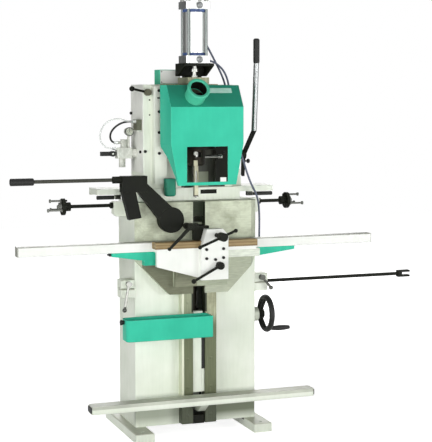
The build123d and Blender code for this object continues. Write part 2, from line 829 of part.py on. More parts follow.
# The apron: a plate on the shelf's front with a ledge that carries the wooden board
apron_right = 100
apron_notch_x = -50
apron_left_z = 795
apron_bottom = 742
with BuildPart() as apron:
    left = -board_width / 2 + 6
    plate_xz([(left, board_bottom), (apron_right, board_bottom), (apron_right, apron_bottom),
              (apron_notch_x, apron_bottom), (left, apron_left_z)], table_front, apron_thick)
    block(left, -left, table_front, rail_front - 2, rail_bottom, board_bottom)
save(apron, "apron")

with BuildPart() as table_board:
    block(-board_width / 2, board_width / 2, table_front, table_front + board_depth, board_bottom,
          board_bottom + board_thick)
    chamfer(table_board.edges().filter_by(Axis.X).group_by(Axis.Z)[-1], length=2)
save(table_board, "table_board")

# The long work rail and the tapered arms below its ends
with BuildPart() as work_rail:
    block(-rail_length / 2, rail_length / 2, rail_front, rail_back, rail_bottom, rail_top)
    chamfer(work_rail.edges().filter_by(Axis.X), length=2)
save(work_rail, "work_rail")

with BuildPart() as rail_arms:
    arm_front = (rail_front + rail_back) / 2 - arm_depth / 2
    for root, tip in ((shelf_left - arm_box_length, arm_left), (shelf_right, arm_right)):
        plate_xz([(root, rail_bottom), (tip, rail_bottom), (tip, rail_bottom - arm_tip_height),
                  (root, rail_bottom - arm_root_height)], arm_front, arm_depth)
    block(shelf_left - arm_box_length, shelf_left, arm_front, arm_front + arm_depth,
          rail_bottom - arm_box_height, rail_bottom)
save(rail_arms, "rail_arms")

# The vise: a slanted block on the apron, its screw with a tommy bar, and the sliding jaw
vise_left = -38
vise_right = 90
vise_front = table_front - vise_thick
with BuildPart() as vise_block:
    board_top = board_bottom + board_thick
    plate_xz([(vise_left, vise_bottom), (vise_left, vise_shoulder_z), (vise_left + 27, vise_top),
              (vise_right - 26, vise_top), (vise_right, vise_top - 28), (vise_right, vise_bottom)],
             vise_front, vise_thick)
    plate_xz([(vise_left + 12, board_top + slide_gap), (vise_left + 27, vise_top),
              (vise_right - 26, vise_top),
              (vise_right, vise_top - 28), (vise_right, board_top + slide_gap)],
             table_front, vise_overhang)
    rod((vise_x, vise_front - 1, vise_screw_z), (0, 1, 0), vise_screw_dia / 2 + shaft_gap,
        vise_thick + vise_overhang + 2, mode=Mode.SUBTRACT)
save(vise_block, "vise_block")

jaw_hole_depth = 12
ear_front = jaw_front - 21
ear_back = jaw_front - 3
with BuildPart() as vise_jaw:
    plate_xz([(jaw_left, jaw_bottom), (jaw_left, jaw_top), (jaw_step_x, jaw_top), (jaw_step_x, jaw_step_z),
              (jaw_right, jaw_step_z), (jaw_right, jaw_bottom)], jaw_front, jaw_thick)
    block(stud_x, jaw_left + 14, ear_front, ear_back, stud_z - 15, stud_z + 12)
    block(jaw_left, jaw_left + 14, ear_front, jaw_front + 8, stud_z - 15, jaw_top)
    rod((stud_x, ear_front, stud_z), (0, 1, 0), 15, ear_back - ear_front)
    rod((stud_x, jaw_front - 68, stud_z), (0, 1, 0), 6, ear_back - jaw_front + 68)
    rod((vise_x, jaw_front - 1, vise_screw_z), (0, 1, 0), vise_neck_dia / 2 + shaft_gap, jaw_hole_depth + 1,
        mode=Mode.SUBTRACT)
save(vise_jaw, "vise_jaw")

with BuildPart() as vise_screw:
    rod((vise_x, tommy_y, vise_screw_z), (0, 1, 0), vise_screw_dia / 2, jaw_front - slide_gap - tommy_y)
    rod((vise_x, jaw_front - 1, vise_screw_z), (0, 1, 0), vise_neck_dia / 2, jaw_hole_depth - 1)
    rod((vise_x, tommy_y - tommy_hub_length / 2, vise_screw_z), (0, 1, 0), tommy_hub_dia / 2,
        tommy_hub_length)
    for reach in (-tommy_left, tommy_right):
        across, up = polar(reach, tommy_tilt)
        end = (vise_x + across, tommy_y, vise_screw_z + up)
        knobbed_bar((vise_x, tommy_y, vise_screw_z), end, tommy_dia / 2, 9)
save(vise_screw, "vise_screw")

# The swinging stop lever on the jaw's stud
with BuildPart() as jaw_lever:
    pivot = (stud_x, stud_z)
    across, up = polar(jaw_lever_reach, jaw_lever_tilt)
    lever_front = jaw_front - 68
    rod((pivot[0], lever_front, pivot[1]), (0, 1, 0), 15, 14)
    side_x, side_z = polar(7, jaw_lever_tilt + 90)
    plate_xz([(pivot[0] + side_x, pivot[1] + side_z),
              (pivot[0] + across + side_x * 0.6, pivot[1] + up + side_z * 0.6),
              (pivot[0] + across - side_x * 0.6, pivot[1] + up - side_z * 0.6),
              (pivot[0] - side_x, pivot[1] - side_z)], lever_front, 12)
    rod((pivot[0] + across, lever_front, pivot[1] + up), (0, 1, 0), 7, 12)
    rod((pivot[0], lever_front - 1, pivot[1]), (0, 1, 0), 6 + shaft_gap, 17, mode=Mode.SUBTRACT)
save(jaw_lever, "jaw_lever")

# The table lock lever on the vise block's front
with BuildPart() as table_lock:
    rod((lock_x, vise_front - slide_gap, lock_z), (0, -1, 0), lock_hub_dia / 2, 26)
    across, up = polar(lock_reach, lock_tilt)
    tip = (lock_x + across, vise_front - 34, lock_z + up)
    knobbed_bar((lock_x, vise_front - 15, lock_z), tip, 6, 11)
save(table_lock, "table_lock")

# The traverse lever: a cast crank with a round boss, its shaft and the toothed sector behind
rack_front = traverse_rack_y - traverse_rack_width / 2
lever_thick = 36
crank_left, crank_right = -377, -263
crank_low, crank_high = 1125, 1196
with BuildPart() as traverse_lever:
    rod((boss_x, lever_back, boss_z), (0, -1, 0), boss_dia / 2, boss_thick)
    fillet(traverse_lever.edges().group_by(Axis.Y)[0], radius=5)
    root_x, root_z = polar(44, 45)
    tip_x, tip_z = polar(27, 45)
    plate_xz([(boss_x - root_x, boss_z - root_z), (boss_x + root_x, boss_z + root_z),
              (crank_right - 22 + tip_x, crank_low + 22 + tip_z),
              (crank_right - 22 - tip_x, crank_low + 22 - tip_z)], lever_back - 40, lever_thick)
    block(crank_left, crank_right, lever_back - 48, lever_back, crank_low, crank_high)
    plate_xz([(crank_left, crank_low + 8), (crank_left + 62, crank_low + 8), (-288, 1010), (-344, 1002)],
             lever_back - 40, lever_thick)
    rod((crank_left + 4, lever_y, lever_rod_z), (-1, 0, 0), lever_collar_dia / 2, 42)
    rod((crank_left, lever_y, lever_rod_z), (-1, 0, 0), lever_rod_dia / 2, crank_left - lever_rod_end - 8)
    rod((boss_x, lever_back - 2, boss_z), (0, 1, 0), traverse_shaft_dia / 2, rack_front + 2 - lever_back)
    sector_plane = Plane(origin=(boss_x, rack_front, boss_z), x_dir=(1, 0, 0), z_dir=(0, -1, 0))
    sector = toothed_sector(sector_plane, traverse_radius, traverse_pitch, 90, -3, 7, 28)
    extrude(sector, amount=-traverse_rack_width)
save(traverse_lever, "traverse_lever")

with BuildPart() as traverse_grip:
    grip_start = lever_rod_end + lever_grip_length
    rod((grip_start, lever_y, lever_rod_z), (-1, 0, 0), lever_grip_dia / 2, lever_grip_length)
    fillet(traverse_grip.edges(), radius=5)
    rod((grip_start + 1, lever_y, lever_rod_z), (-1, 0, 0), lever_rod_dia / 2, lever_grip_length - 7,
        mode=Mode.SUBTRACT)
save(traverse_grip, "traverse_grip")

# The carriage: it slides across the column on the dovetail, driven by the rack cut in its underside,
# with short stop bars in hangers under its wings
core_left, core_right = head_x - 245, head_x + 245
groove = slide_gap + 0.05
above, below, root_half, tip_half = tooth_sizes(traverse_pitch)
rack_z = boss_z + traverse_radius
with BuildPart() as carriage_plate:
    block(core_left, core_right, carriage_front, carriage_back, carriage_bottom, carriage_top)
    block(head_x - carriage_wing, head_x + carriage_wing, wing_front, wing_back,
          carriage_top - wing_thick, carriage_top)
    plate_yz(
        [(bed_y - bed_bottom_half - 2 * groove, column_top),
         (bed_y + bed_bottom_half + 2 * groove, column_top),
         (bed_y + bed_top_half + 2 * groove, bed_top + groove), (bed_y - bed_top_half - 2 * groove,
                 bed_top + groove)],
        head_x - carriage_wing - 1, 2 * carriage_wing + 2, mode=Mode.SUBTRACT)
    for index in range(-7, 4):
        gap_x = boss_x + (index + 0.5) * traverse_pitch
        half_low, half_high = traverse_pitch / 2 - tip_half, traverse_pitch / 2 - root_half
        plate_xz([(gap_x - half_low, carriage_bottom - 1), (gap_x - half_low, carriage_bottom),
                  (gap_x - half_high, rack_z + below), (gap_x + half_high, rack_z + below),
                  (gap_x + half_low, carriage_bottom), (gap_x + half_low, carriage_bottom - 1)],
                 rack_front - 1, traverse_rack_width + 2, mode=Mode.SUBTRACT)
    for side, hanger in ((-1, 320), (1, 300)):
        block(side * hanger, side * (hanger + 25), stop_bar_y - 12, stop_bar_y + 12, stop_bar_z - 8,
              bed_top + groove)
        rod((side * hanger, stop_bar_y, stop_bar_z), (side, 0, 0), stop_bar_dia / 2, stop_bar_end - hanger)
save(carriage_plate, "carriage_plate")

# The chip cup on the carriage's front, beside the chisel
cup_left, cup_right = -162, -110
cup_front, cup_back = -185, -146
cup_bottom, cup_top = 1097, 1177
with BuildPart() as chip_cup:
    block(cup_left, cup_right, cup_front, cup_back, cup_bottom, cup_top)
    fillet(chip_cup.edges().filter_by(Axis.Z), radius=14)
    fillet(chip_cup.faces().sort_by(Axis.Z)[0].edges(), radius=12)
    block(cup_left + 4, cup_right - 4, cup_front + 4, cup_back - 4, cup_top - 40, cup_top + 1,
          mode=Mode.SUBTRACT)
    block(cup_left + 26, cup_right - 4, cup_back - 3, carriage_front, cup_bottom + 14, cup_bottom + 31)
save(chip_cup, "chip_cup")

# The upright: a hollow casting on the carriage, slotted in front for the ram's rack, with a foot
# under the feed lever's boss
feed_slot = 44
feed_slot_top = 1420
feed_boss_dia = 60
feed_boss_length = 55
with BuildPart() as upright:
    block(upright_left, upright_right, upright_front, upright_back, carriage_top, upright_top)
    fillet(upright.edges().filter_by(Axis.Z), radius=6)
    block(upright_left + upright_wall, upright_right - upright_wall, upright_front + upright_wall,
          upright_back - upright_wall, carriage_top - 1, upright_top - upright_wall, mode=Mode.SUBTRACT)
    block(head_x - feed_slot / 2, head_x + feed_slot / 2, upright_front - 1,
          upright_front + upright_wall + 1,
          carriage_top - 1, feed_slot_top, mode=Mode.SUBTRACT)
    rod((upright_right, feed_y, feed_z), (1, 0, 0), feed_boss_dia / 2, feed_boss_length)
    rod((upright_right - upright_wall - 1, feed_y, feed_z), (1, 0, 0), feed_shaft_dia / 2 + shaft_gap,
        upright_wall + feed_boss_length + 2, mode=Mode.SUBTRACT)
    plate_yz([(feed_y - 60, carriage_top), (feed_y + 50, carriage_top), (feed_y + 24, carriage_top + 76),
              (feed_y - 44, carriage_top + 76)], upright_right, 62)
save(upright, "upright")

# Keep plates that hold the ram against the upright
keep_top = upright_top - 7
ram_left, ram_right = head_x - ram_width / 2, head_x + ram_width / 2
keep_front = ram_front - slide_gap - keep_thick
with BuildPart() as keep_plates:
    for side in (-1, 1):
        edge = head_x + side * (ram_width / 2 + slide_gap)
        outer = edge + side * keep_spacer
        block(edge, outer, ram_front - slide_gap, upright_front, keep_bottom, keep_top)
        block(edge - side * keep_lip, outer, keep_front, ram_front - slide_gap, keep_bottom, keep_top)
    chamfer(keep_plates.edges().filter_by(Axis.Z).group_by(Axis.Y)[0], length=2)
save(keep_plates, "keep_plates")

# The ram: a flat slide with the feed rack behind and an arm on top for the cylinder's rod
above, below, root_half, tip_half = tooth_sizes(feed_pitch)
feed_rack_bottom, feed_rack_teeth = -1, 9
with BuildPart() as ram_slide:
    block(ram_left, ram_right, ram_front, ram_back, ram_bottom, ram_top)
    rack_root = feed_rack_y - below
    rack_low = feed_z + (feed_rack_bottom + 0.3) * feed_pitch
    rack_high = feed_z + (feed_rack_teeth - 0.3) * feed_pitch
    block(head_x - feed_rack_width / 2, head_x + feed_rack_width / 2, ram_back, rack_root, rack_low,
          rack_high)
    for index in range(feed_rack_bottom + 1, feed_rack_teeth):
        tooth_z = feed_z + index * feed_pitch
        plate_yz([(rack_root - 1, tooth_z - root_half), (feed_rack_y + above, tooth_z - tip_half),
                  (feed_rack_y + above, tooth_z + tip_half), (rack_root - 1, tooth_z + root_half)],
                 head_x - feed_rack_width / 2, feed_rack_width)
    block(head_x - saddle_arm_half, head_x + saddle_arm_half, saddle_arm_front, ram_back, ram_top, ram_top + saddle_arm_thick)
save(ram_slide, "ram_slide")

# The cylinder's rod, with its piston and the round coupling bolted to the ram's arm
arm_top = ram_top + saddle_arm_thick
piston_top = cylinder_top - cap_height - piston_top_gap
with BuildPart() as piston_rod:
    rod((head_x, cylinder_y, arm_top), (0, 0, 1), coupling_foot_dia / 2, 9)
    rod((head_x, cylinder_y, arm_top), (0, 0, 1), coupling_neck_dia / 2, 26)
    rod((head_x, cylinder_y, arm_top + 25), (0, 0, 1), coupling_dia / 2, 14)
    rod((head_x, cylinder_y, arm_top + 30), (0, 0, 1), piston_rod_dia / 2, piston_top - arm_top - 30)
    rod((head_x, cylinder_y, piston_top - piston_thick), (0, 0, 1),
        tube_dia / 2 - tube_wall - slide_gap, piston_thick)
save(piston_rod, "piston_rod")

with BuildPart() as cylinder_caps:
    for low in (cylinder_bottom, cylinder_top - cap_height):
        block(head_x - cap_side / 2, head_x + cap_side / 2, cylinder_y - cap_side / 2,
              cylinder_y + cap_side / 2,
              low, low + cap_height)
    fillet(cylinder_caps.edges().filter_by(Axis.Z), radius=9)
    rod((head_x, cylinder_y, cylinder_bottom - 1), (0, 0, 1), piston_rod_dia / 2 + shaft_gap,
        cap_height + 2,
        mode=Mode.SUBTRACT)
save(cylinder_caps, "cylinder_caps")

with BuildPart() as cylinder_tube:
    tube_bottom = cylinder_bottom + cap_height
    rod((head_x, cylinder_y, tube_bottom), (0, 0, 1), tube_dia / 2, tube_length)
    rod((head_x, cylinder_y, tube_bottom - 1), (0, 0, 1), tube_dia / 2 - tube_wall, tube_length + 2,
        mode=Mode.SUBTRACT)
    with BuildSketch(Plane.XY.offset(tube_bottom)):
        with Locations((head_x, cylinder_y)):
            with GridLocations(tie_rod_pitch, tie_rod_pitch, 2, 2):
                Circle(tie_rod_dia / 2)
    extrude(amount=tube_length)
save(cylinder_tube, "cylinder_tube")

# The black bracket that carries the cylinder over the ram's arm: a plate on two tapered cheeks, on a pillar
with BuildPart() as cylinder_bracket:
    half = bracket_width / 2
    block(head_x - half, head_x + half, bracket_front, bracket_back, cylinder_bottom - bracket_plate,
          cylinder_bottom)
    plate_low = cylinder_bottom - bracket_plate
    for side in (-1, 1):
        inside = head_x + side * cheek_inside / 2
        plate_yz([(bracket_front + 4, plate_low), (bracket_back, plate_low), (bracket_back, cheek_bottom),
                  (cheek_foot_y, cheek_bottom)], min(inside, inside + side * bracket_cheek), bracket_cheek)
    block(head_x - half, head_x + half, bracket_back - bracket_cheek, bracket_back, cheek_bottom, plate_low)
    block(pillar_left, pillar_right, bracket_back - 1, pillar_back, cheek_bottom, cylinder_bottom)
    block(pillar_left, pillar_right, upright_front + 2, pillar_back, upright_top, cheek_bottom)
    rod((head_x, cylinder_y, cylinder_bottom - bracket_plate - 1), (0, 0, 1), piston_rod_dia / 2 + 6,
        bracket_plate + 2, mode=Mode.SUBTRACT)
save(cylinder_bracket, "cylinder_bracket")

# The terminal box on the upright's top
terminal_left, terminal_front = -140, -30
with BuildPart() as terminal_box:
    block(terminal_left, terminal_left + terminal_width, terminal_front,
          terminal_front + terminal_depth, upright_top,
          upright_top + terminal_height)
    fillet(terminal_box.edges().filter_by(Axis.Z), radius=3)
    block(terminal_left + 4, terminal_left + terminal_width - 4, terminal_front - 3, terminal_front,
          upright_top + 6,
          upright_top + terminal_height - 3)
save(terminal_box, "terminal_box")

# The motor: a round housing with a pad on the ram and a deck plate that carries the hood
inner_r = motor_dia / 2 - motor_wall
deck_back = -150
with BuildPart() as motor_housing:
    rod((spindle_x, spindle_y, motor_bottom), (0, 0, 1), motor_dia / 2, motor_top - motor_bottom)
    block(spindle_x - 50, spindle_x + 50, spindle_y, ram_front, motor_bottom + 20, motor_top)
    block(hood_x - hood_width / 2 + hood_sheet, hood_x + hood_width / 2 - hood_sheet, spindle_y - 60,
          deck_back,
          deck_z, deck_z + deck_thick)
    rod((spindle_x, spindle_y, motor_bottom + motor_wall), (0, 0, 1), inner_r,
        motor_top - motor_bottom - 2 * motor_wall, mode=Mode.SUBTRACT)
    rod((spindle_x, spindle_y, motor_bottom + motor_wall), (0, 0, 1), 26, 26)
    rod((spindle_x, spindle_y, motor_top - motor_wall - 26), (0, 0, 1), 26, 26)
    rod((spindle_x, spindle_y, motor_bottom - 1), (0, 0, 1), motor_shaft_dia / 2 + shaft_gap,
        motor_top - motor_wall - motor_bottom - 1, mode=Mode.SUBTRACT)
save(motor_housing, "motor_housing")

with BuildPart() as spindle:
    rod((spindle_x, spindle_y, chuck_bottom + 20), (0, 0, 1), motor_shaft_dia / 2,
        motor_top - motor_wall - 10 - chuck_bottom - 20)
    rod((spindle_x, spindle_y, rotor_bottom), (0, 0, 1), rotor_dia / 2, rotor_top - rotor_bottom)
    rod((spindle_x, spindle_y, chuck_bottom), (0, 0, 1), chuck_dia / 2, 30)
save(spindle, "spindle")

with BuildPart() as auger_bit:
    rod((spindle_x, spindle_y, chisel_tip - 3), (0, 0, 1), auger_dia / 2, chuck_bottom - chisel_tip + 3)
    chamfer(auger_bit.edges().group_by(Axis.Z)[0], length=4)
save(auger_bit, "auger_bit")

with BuildPart() as chisel_holder:
    rod((spindle_x, spindle_y, holder_bottom), (0, 0, 1), holder_dia / 2, holder_top - holder_bottom)
    rod((spindle_x, spindle_y, chisel_top), (0, 0, 1), holder_bore_dia / 2,
        holder_top - chisel_top + 1, mode=Mode.SUBTRACT)
    rod((spindle_x, spindle_y, holder_bottom - 1), (0, 0, 1), chisel_side / 2 + 2,
        holder_top - holder_bottom, mode=Mode.SUBTRACT)
    block(spindle_x - 14, spindle_x + 14, spindle_y - holder_dia / 2 - 2, spindle_y - 20,
          holder_top - 34, holder_top - 12,
          mode=Mode.SUBTRACT)
    lower_rims = chisel_holder.edges().filter_by(GeomType.CIRCLE).group_by(Axis.Z)[0]
    chamfer(lower_rims.sort_by(SortBy.RADIUS)[-1], length=8)
save(chisel_holder, "chisel_holder")

with BuildPart() as chisel:
    block(spindle_x - chisel_side / 2, spindle_x + chisel_side / 2, spindle_y - chisel_side / 2,
          spindle_y + chisel_side / 2, chisel_tip, holder_bottom)
    rod((spindle_x, spindle_y, holder_bottom), (0, 0, 1), chisel_side / 2 + 2, chisel_top - holder_bottom)
    rod((spindle_x, spindle_y, chisel_tip - 1), (0, 0, 1), chisel_bore / 2,
        chisel_top - chisel_tip + 2, mode=Mode.SUBTRACT)
    with Locations((spindle_x, spindle_y, chisel_tip - 0.01)):
        Cone(chisel_side * 0.71, chisel_bore / 2, 9, align=(Align.CENTER, Align.CENTER, Align.MIN),
             mode=Mode.SUBTRACT)
    block(spindle_x - 5, spindle_x + 5, spindle_y - chisel_side, spindle_y, chisel_tip + 55,
          chisel_tip + 118, mode=Mode.SUBTRACT)
save(chisel, "chisel")

# The hood: bent sheet over the motor, tapered below, with a window in front of the chisel
hood_back = hood_front + hood_depth
roof_back = hood_front + hood_roof_run
roof_length = math.hypot(hood_roof_run, hood_top - hood_brow)
roof_out = (-(hood_top - hood_brow) / roof_length, hood_roof_run / roof_length)


def hood_sides(gap, low):
    """The hood's outline from the front, drawn in by a gap and carried down to a height."""
    wide = hood_width / 2 - gap
    lean = (hood_width - hood_bottom_width) / 2 / (hood_waist - hood_bottom)
    narrow = wide - lean * (hood_waist - low)
    return [(hood_x - wide, hood_top + 10), (hood_x - wide, hood_waist), (hood_x - narrow, low),
            (hood_x + narrow, low),
            (hood_x + wide, hood_waist), (hood_x + wide, hood_top + 10)]


hood_edge = [(hood_front, hood_bottom), (hood_front, hood_brow), (roof_back, hood_top),
             (hood_back, hood_top),
             (hood_back, 1320), (-256, 1283), (-272, 1270), (-325,
                     1195), (hood_front + hood_bottom_depth, hood_bottom)]
hood_cut = [(hood_front + hood_sheet, hood_bottom - 20),
            (hood_front + hood_sheet, hood_brow - hood_sheet * 0.35),
            (roof_back + hood_sheet * 0.55, hood_top - hood_sheet), (hood_back + 10, hood_top - hood_sheet),
            (hood_back + 10, hood_bottom - 20)]
with BuildPart() as hood:
    plate_yz(hood_edge, hood_x - hood_width, 2 * hood_width)
    plate_xz(hood_sides(0, hood_bottom), hood_front - 10, hood_depth + 20, mode=Mode.INTERSECT)
    with BuildPart(mode=Mode.PRIVATE) as hood_inside:
        plate_yz(hood_cut, hood_x - hood_width, 2 * hood_width)
        plate_xz(hood_sides(hood_sheet, hood_bottom - 20), hood_front - 10, hood_depth + 30,
                 mode=Mode.INTERSECT)
    add(hood_inside.part, mode=Mode.SUBTRACT)
    block(window_left, window_right, hood_front - 1, hood_front + 30, window_bottom, window_top,
          mode=Mode.SUBTRACT)
    port_y = hood_front + (port_z - hood_brow) * hood_roof_run / (hood_top - hood_brow)
    port_base = (port_x, port_y, port_z)
    port_out = (0, *roof_out)
    rod(port_base, port_out, port_dia / 2 - port_wall, 12, mode=Mode.SUBTRACT)
    rod(port_base, (0, -roof_out[0], -roof_out[1]), port_dia / 2 - port_wall, 12, mode=Mode.SUBTRACT)
save(hood, "hood")

with BuildPart() as dust_port:
    rod(port_base, port_out, port_dia / 2, port_length)
    rod(port_base, port_out, port_dia / 2 - port_wall, port_length + 1, mode=Mode.SUBTRACT)
save(dust_port, "dust_port")

# The feed lever: its shaft and sector in the upright, the bent arm, the tube and the grip
lever_low_x = feed_x - feed_arm_thick / 2
tube_run = Vector(0, feed_top_y - feed_bend_y, feed_top_z - feed_bend_z).normalized()
tube_start = (feed_x, feed_bend_y + tube_run.Y * 13, feed_bend_z + tube_run.Z * 13)
seat = [(tube_start[1] + side * 14 * tube_run.Z,
         tube_start[2] - side * 14 * tube_run.Y) for side in (1, -1)]
with BuildPart() as feed_lever:
    sector_plane = Plane(origin=(head_x - feed_rack_width / 2, feed_y, feed_z), x_dir=(0, 1, 0),
                         z_dir=(1, 0, 0))
    extrude(toothed_sector(sector_plane, feed_radius, feed_pitch, 180, -10, 1, 24), amount=feed_rack_width)
    rod((head_x - 40, feed_y, feed_z), (1, 0, 0), feed_shaft_dia / 2, lever_low_x + 4 - head_x + 40)
    rod((upright_right + feed_boss_length + slide_gap, feed_y, feed_z), (1, 0, 0), 22,
        lever_low_x - upright_right - feed_boss_length)
    rod((lever_low_x, feed_y, feed_z), (1, 0, 0), 2.2 * feed_arm_half, feed_arm_thick)
    arm_run = Vector(0, feed_bend_y - feed_y, feed_bend_z - feed_z).normalized()
    plate_yz([(feed_y + feed_arm_half * arm_run.Z, feed_z - feed_arm_half * arm_run.Y),
              (feed_y - feed_arm_half * arm_run.Z, feed_z + feed_arm_half * arm_run.Y), *seat[::-1]],
             lever_low_x, feed_arm_thick)
    plate_yz([(feed_y - feed_arm_half, feed_z), (feed_y + feed_arm_half, feed_z),
              (feed_y + 18, feed_tail_z + 8), (feed_y + 4, feed_tail_z)], lever_low_x, feed_arm_thick)
save(feed_lever, "feed_lever")

with BuildPart() as feed_tube:
    bar(tube_start, (feed_x, feed_top_y, feed_top_z), feed_tube_dia / 2)
save(feed_tube, "feed_tube")

with BuildPart() as feed_grip:
    rod((feed_x, feed_top_y, feed_top_z), (0, 0, 1), feed_grip_dia / 2, feed_grip_length)
    fillet(feed_grip.edges().group_by(Axis.Z)[-1], radius=9)
    with Locations((feed_x, feed_top_y, feed_top_z)):
        Sphere(feed_grip_dia / 2)
    bar(tube_start, (feed_x, feed_top_y, feed_top_z), feed_tube_dia / 2, mode=Mode.SUBTRACT)
save(feed_grip, "feed_grip")

# The head's clamp lever on the upright's front corner
clamp_x, clamp_z = -221, 1562
with BuildPart() as head_clamp:
    rod((clamp_x, upright_front - slide_gap, clamp_z), (0, -1, 0), 15, 24)
    tip = (-296, upright_front - 18, 1578)
    knobbed_bar((clamp_x, upright_front - 14, clamp_z), tip, 5.5, 12)
save(head_clamp, "head_clamp")

# Air service unit on the upright's left: the body with its bowl and gauge, a shut-off block above it,
# and the manifold on the upright's front where the hoses meet
unit_y = 20
body_left, body_right = -332, -262
body_low, body_high = 1262, 1312
tail_z = 1334
handle_x, handle_z = -350, 1284
shutoff_low, shutoff_high = 1386, 1440
manifold_left, manifold_right = 153, 189
manifold_low, manifold_high = 1290, 1340
with BuildPart() as air_unit:
    block(body_left, body_right, unit_y - 25, unit_y + 25, body_low, body_high)
    fillet(air_unit.edges().filter_by(Axis.Z), radius=5)
    block(body_right - 4, upright_left, unit_y - 18, unit_y + 18, body_low + 8, body_high - 8)
    rod((body_left + 28, unit_y, body_low - 40), (0, 0, 1), 15, 41)
    rod((body_left + 36, unit_y, body_high - 1), (0, 0, 1), 15, 38)
    rod((body_right - 12, unit_y, body_high - 1), (0, 0, 1), 6, 72)
    rod((body_right - 12, unit_y + 7, body_high + 72), (0, -1, 0), 19, 24)
    rod((body_left + 36, unit_y, tail_z), (-1, 0, 0), 6, 30)
    block(handle_x - 8, body_left, unit_y + 14, unit_y + 22, handle_z - 8, handle_z + 8)
    rod((handle_x, unit_y + 15, handle_z), (0, -1, 0), 5, 27)
    block(upright_left - 24, upright_left, -82, -28, shutoff_low, shutoff_high)
    rod((upright_left - 24, -42, shutoff_high - 9), (-1, 0, 0), 7, 10)
    rod((upright_left - 24, -66, shutoff_high - 9), (-1, 0, 0), 7, 10)
    block(manifold_left, manifold_right, upright_front - 30, upright_front, manifold_low, manifold_high)
save(air_unit, "air_unit")

# The shut-off valve's handle, pointing left from the body
with BuildPart() as valve_handle:
    rod((handle_x, unit_y + 13.5, handle_z), (0, -1, 0), 13, 27)
    block(handle_x - 56, handle_x, unit_y - 7, unit_y + 7, handle_z - 10, handle_z + 10)
    rod((handle_x, unit_y + 20, handle_z), (0, -1, 0), 5 + shaft_gap, 34, mode=Mode.SUBTRACT)
save(valve_handle, "valve_handle")

# Air hoses that stay on the head: two from the cylinder and two at the service unit
cap_back = cylinder_y + cap_side / 2
cap_right = head_x + cap_side / 2
with BuildPart() as air_hoses:
    hose([(-10, cap_back, 1945), (-10, cap_back + 36, 1945), (-2, cap_back + 62, 1926),
          (10, cap_back + 66, 1884),
          (26, cap_back + 56, 1836), (46, cap_back + 43, 1786), (74, cap_back + 30, 1738), (106,
                  cap_back + 20, 1690), (140, cap_back + 15, 1645),
          (162, cap_back + 12, 1596), (167, -114, 1538), (168, -115, 1478), (167, -115, 1418),
          (167, -115, manifold_high)], hose_dia)
    hose([(cap_right, cylinder_y, 1706), (58, -183, 1706), (92, -174, 1696), (132, -154, 1672),
          (162, -134, 1632),
          (178, -120, 1580), (181, -115, 1522), (180, -115, 1462), (181, -115, 1402),
          (181, -115, manifold_high)], hose_dia)
    hose([(upright_left - 34, -42, shutoff_high - 9), (-302, -42, shutoff_high - 9), (-338, -30, 1420),
          (-366, -10, 1398), (-377, 8, 1374), (-372, 17, 1350), (-352, unit_y, tail_z),
          (body_left + 6, unit_y, tail_z)], hose_dia)
    hose([(upright_left - 34, -66, shutoff_high - 9), (-300, -66, shutoff_high - 9),
          (-345, -58, 1447), (-392, -40, 1432),
          (-416, -16, 1390), (-412, 6, 1345), (-386, 18, 1314), (-356, unit_y, 1307),
          (body_left, unit_y, 1307)], clear_hose_dia)
save(air_hoses, "air_hoses")

# The supply hose that drops from the manifold past the carriage, and its lower length on the column
with BuildPart() as drop_hose:
    hose([(manifold_right, -115, 1306), (214, -115, 1306), (236, -113, 1288), (248, -111, 1256),
          (254, -110, 1222), (259, -110, 1190), (263, -110, 1158), (275, -110, 1126), (303, -110, 1098),
          (322, -110, 1064)], hose_dia)
save(drop_hose, "drop_hose")

elbow_z = 876
with BuildPart() as column_hose:
    hose([(323, -110, 1058), (324, -110, 1005), (323, -110, 950), (320, -110, 915),
          (320, -110, elbow_z + 8)], hose_dia)
    block(column_side, 328, -121, -99, elbow_z - 12, elbow_z + 8)
save(column_hose, "column_hose")
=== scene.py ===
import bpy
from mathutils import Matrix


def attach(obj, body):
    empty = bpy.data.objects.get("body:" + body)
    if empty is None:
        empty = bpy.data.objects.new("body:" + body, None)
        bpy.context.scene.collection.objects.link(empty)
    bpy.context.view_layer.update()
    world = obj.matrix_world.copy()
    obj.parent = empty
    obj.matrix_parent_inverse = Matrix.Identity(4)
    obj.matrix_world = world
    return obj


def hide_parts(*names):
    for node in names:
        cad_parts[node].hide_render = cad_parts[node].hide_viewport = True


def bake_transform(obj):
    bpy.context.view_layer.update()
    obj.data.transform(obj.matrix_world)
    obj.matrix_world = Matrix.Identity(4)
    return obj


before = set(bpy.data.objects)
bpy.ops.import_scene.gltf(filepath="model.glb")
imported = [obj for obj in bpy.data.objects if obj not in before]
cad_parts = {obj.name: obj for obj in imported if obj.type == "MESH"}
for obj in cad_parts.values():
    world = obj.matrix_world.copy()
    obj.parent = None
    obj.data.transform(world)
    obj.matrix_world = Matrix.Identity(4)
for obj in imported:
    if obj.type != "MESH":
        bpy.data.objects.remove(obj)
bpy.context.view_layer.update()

import math

import bmesh
import bpy
import numpy as np
from mathutils import Vector

bl_info = {
    "name": "Hollow chisel mortiser",
    "version": (1, 0, 0),
    "blender": (4, 5, 0),
    "location": "3D View > Sidebar > Mortiser",
    "description": "Dresses the packed mortiser with hoses, fasteners, a dial and worn finishes",
    "category": "Object",
}

MM = 0.001
LEFT, RIGHT = (-1, 0, 0), (1, 0, 0)
FRONT, BACK = (0, -1, 0), (0, 1, 0)
UP = (0, 0, 1)
# The materials by their names
MADE = {}
# Angles in degrees past which an edge is drawn sharp: on most pieces, and on round ones
CREASE = 35.0
ROUND_CREASE = 60.0


# Shader nodes


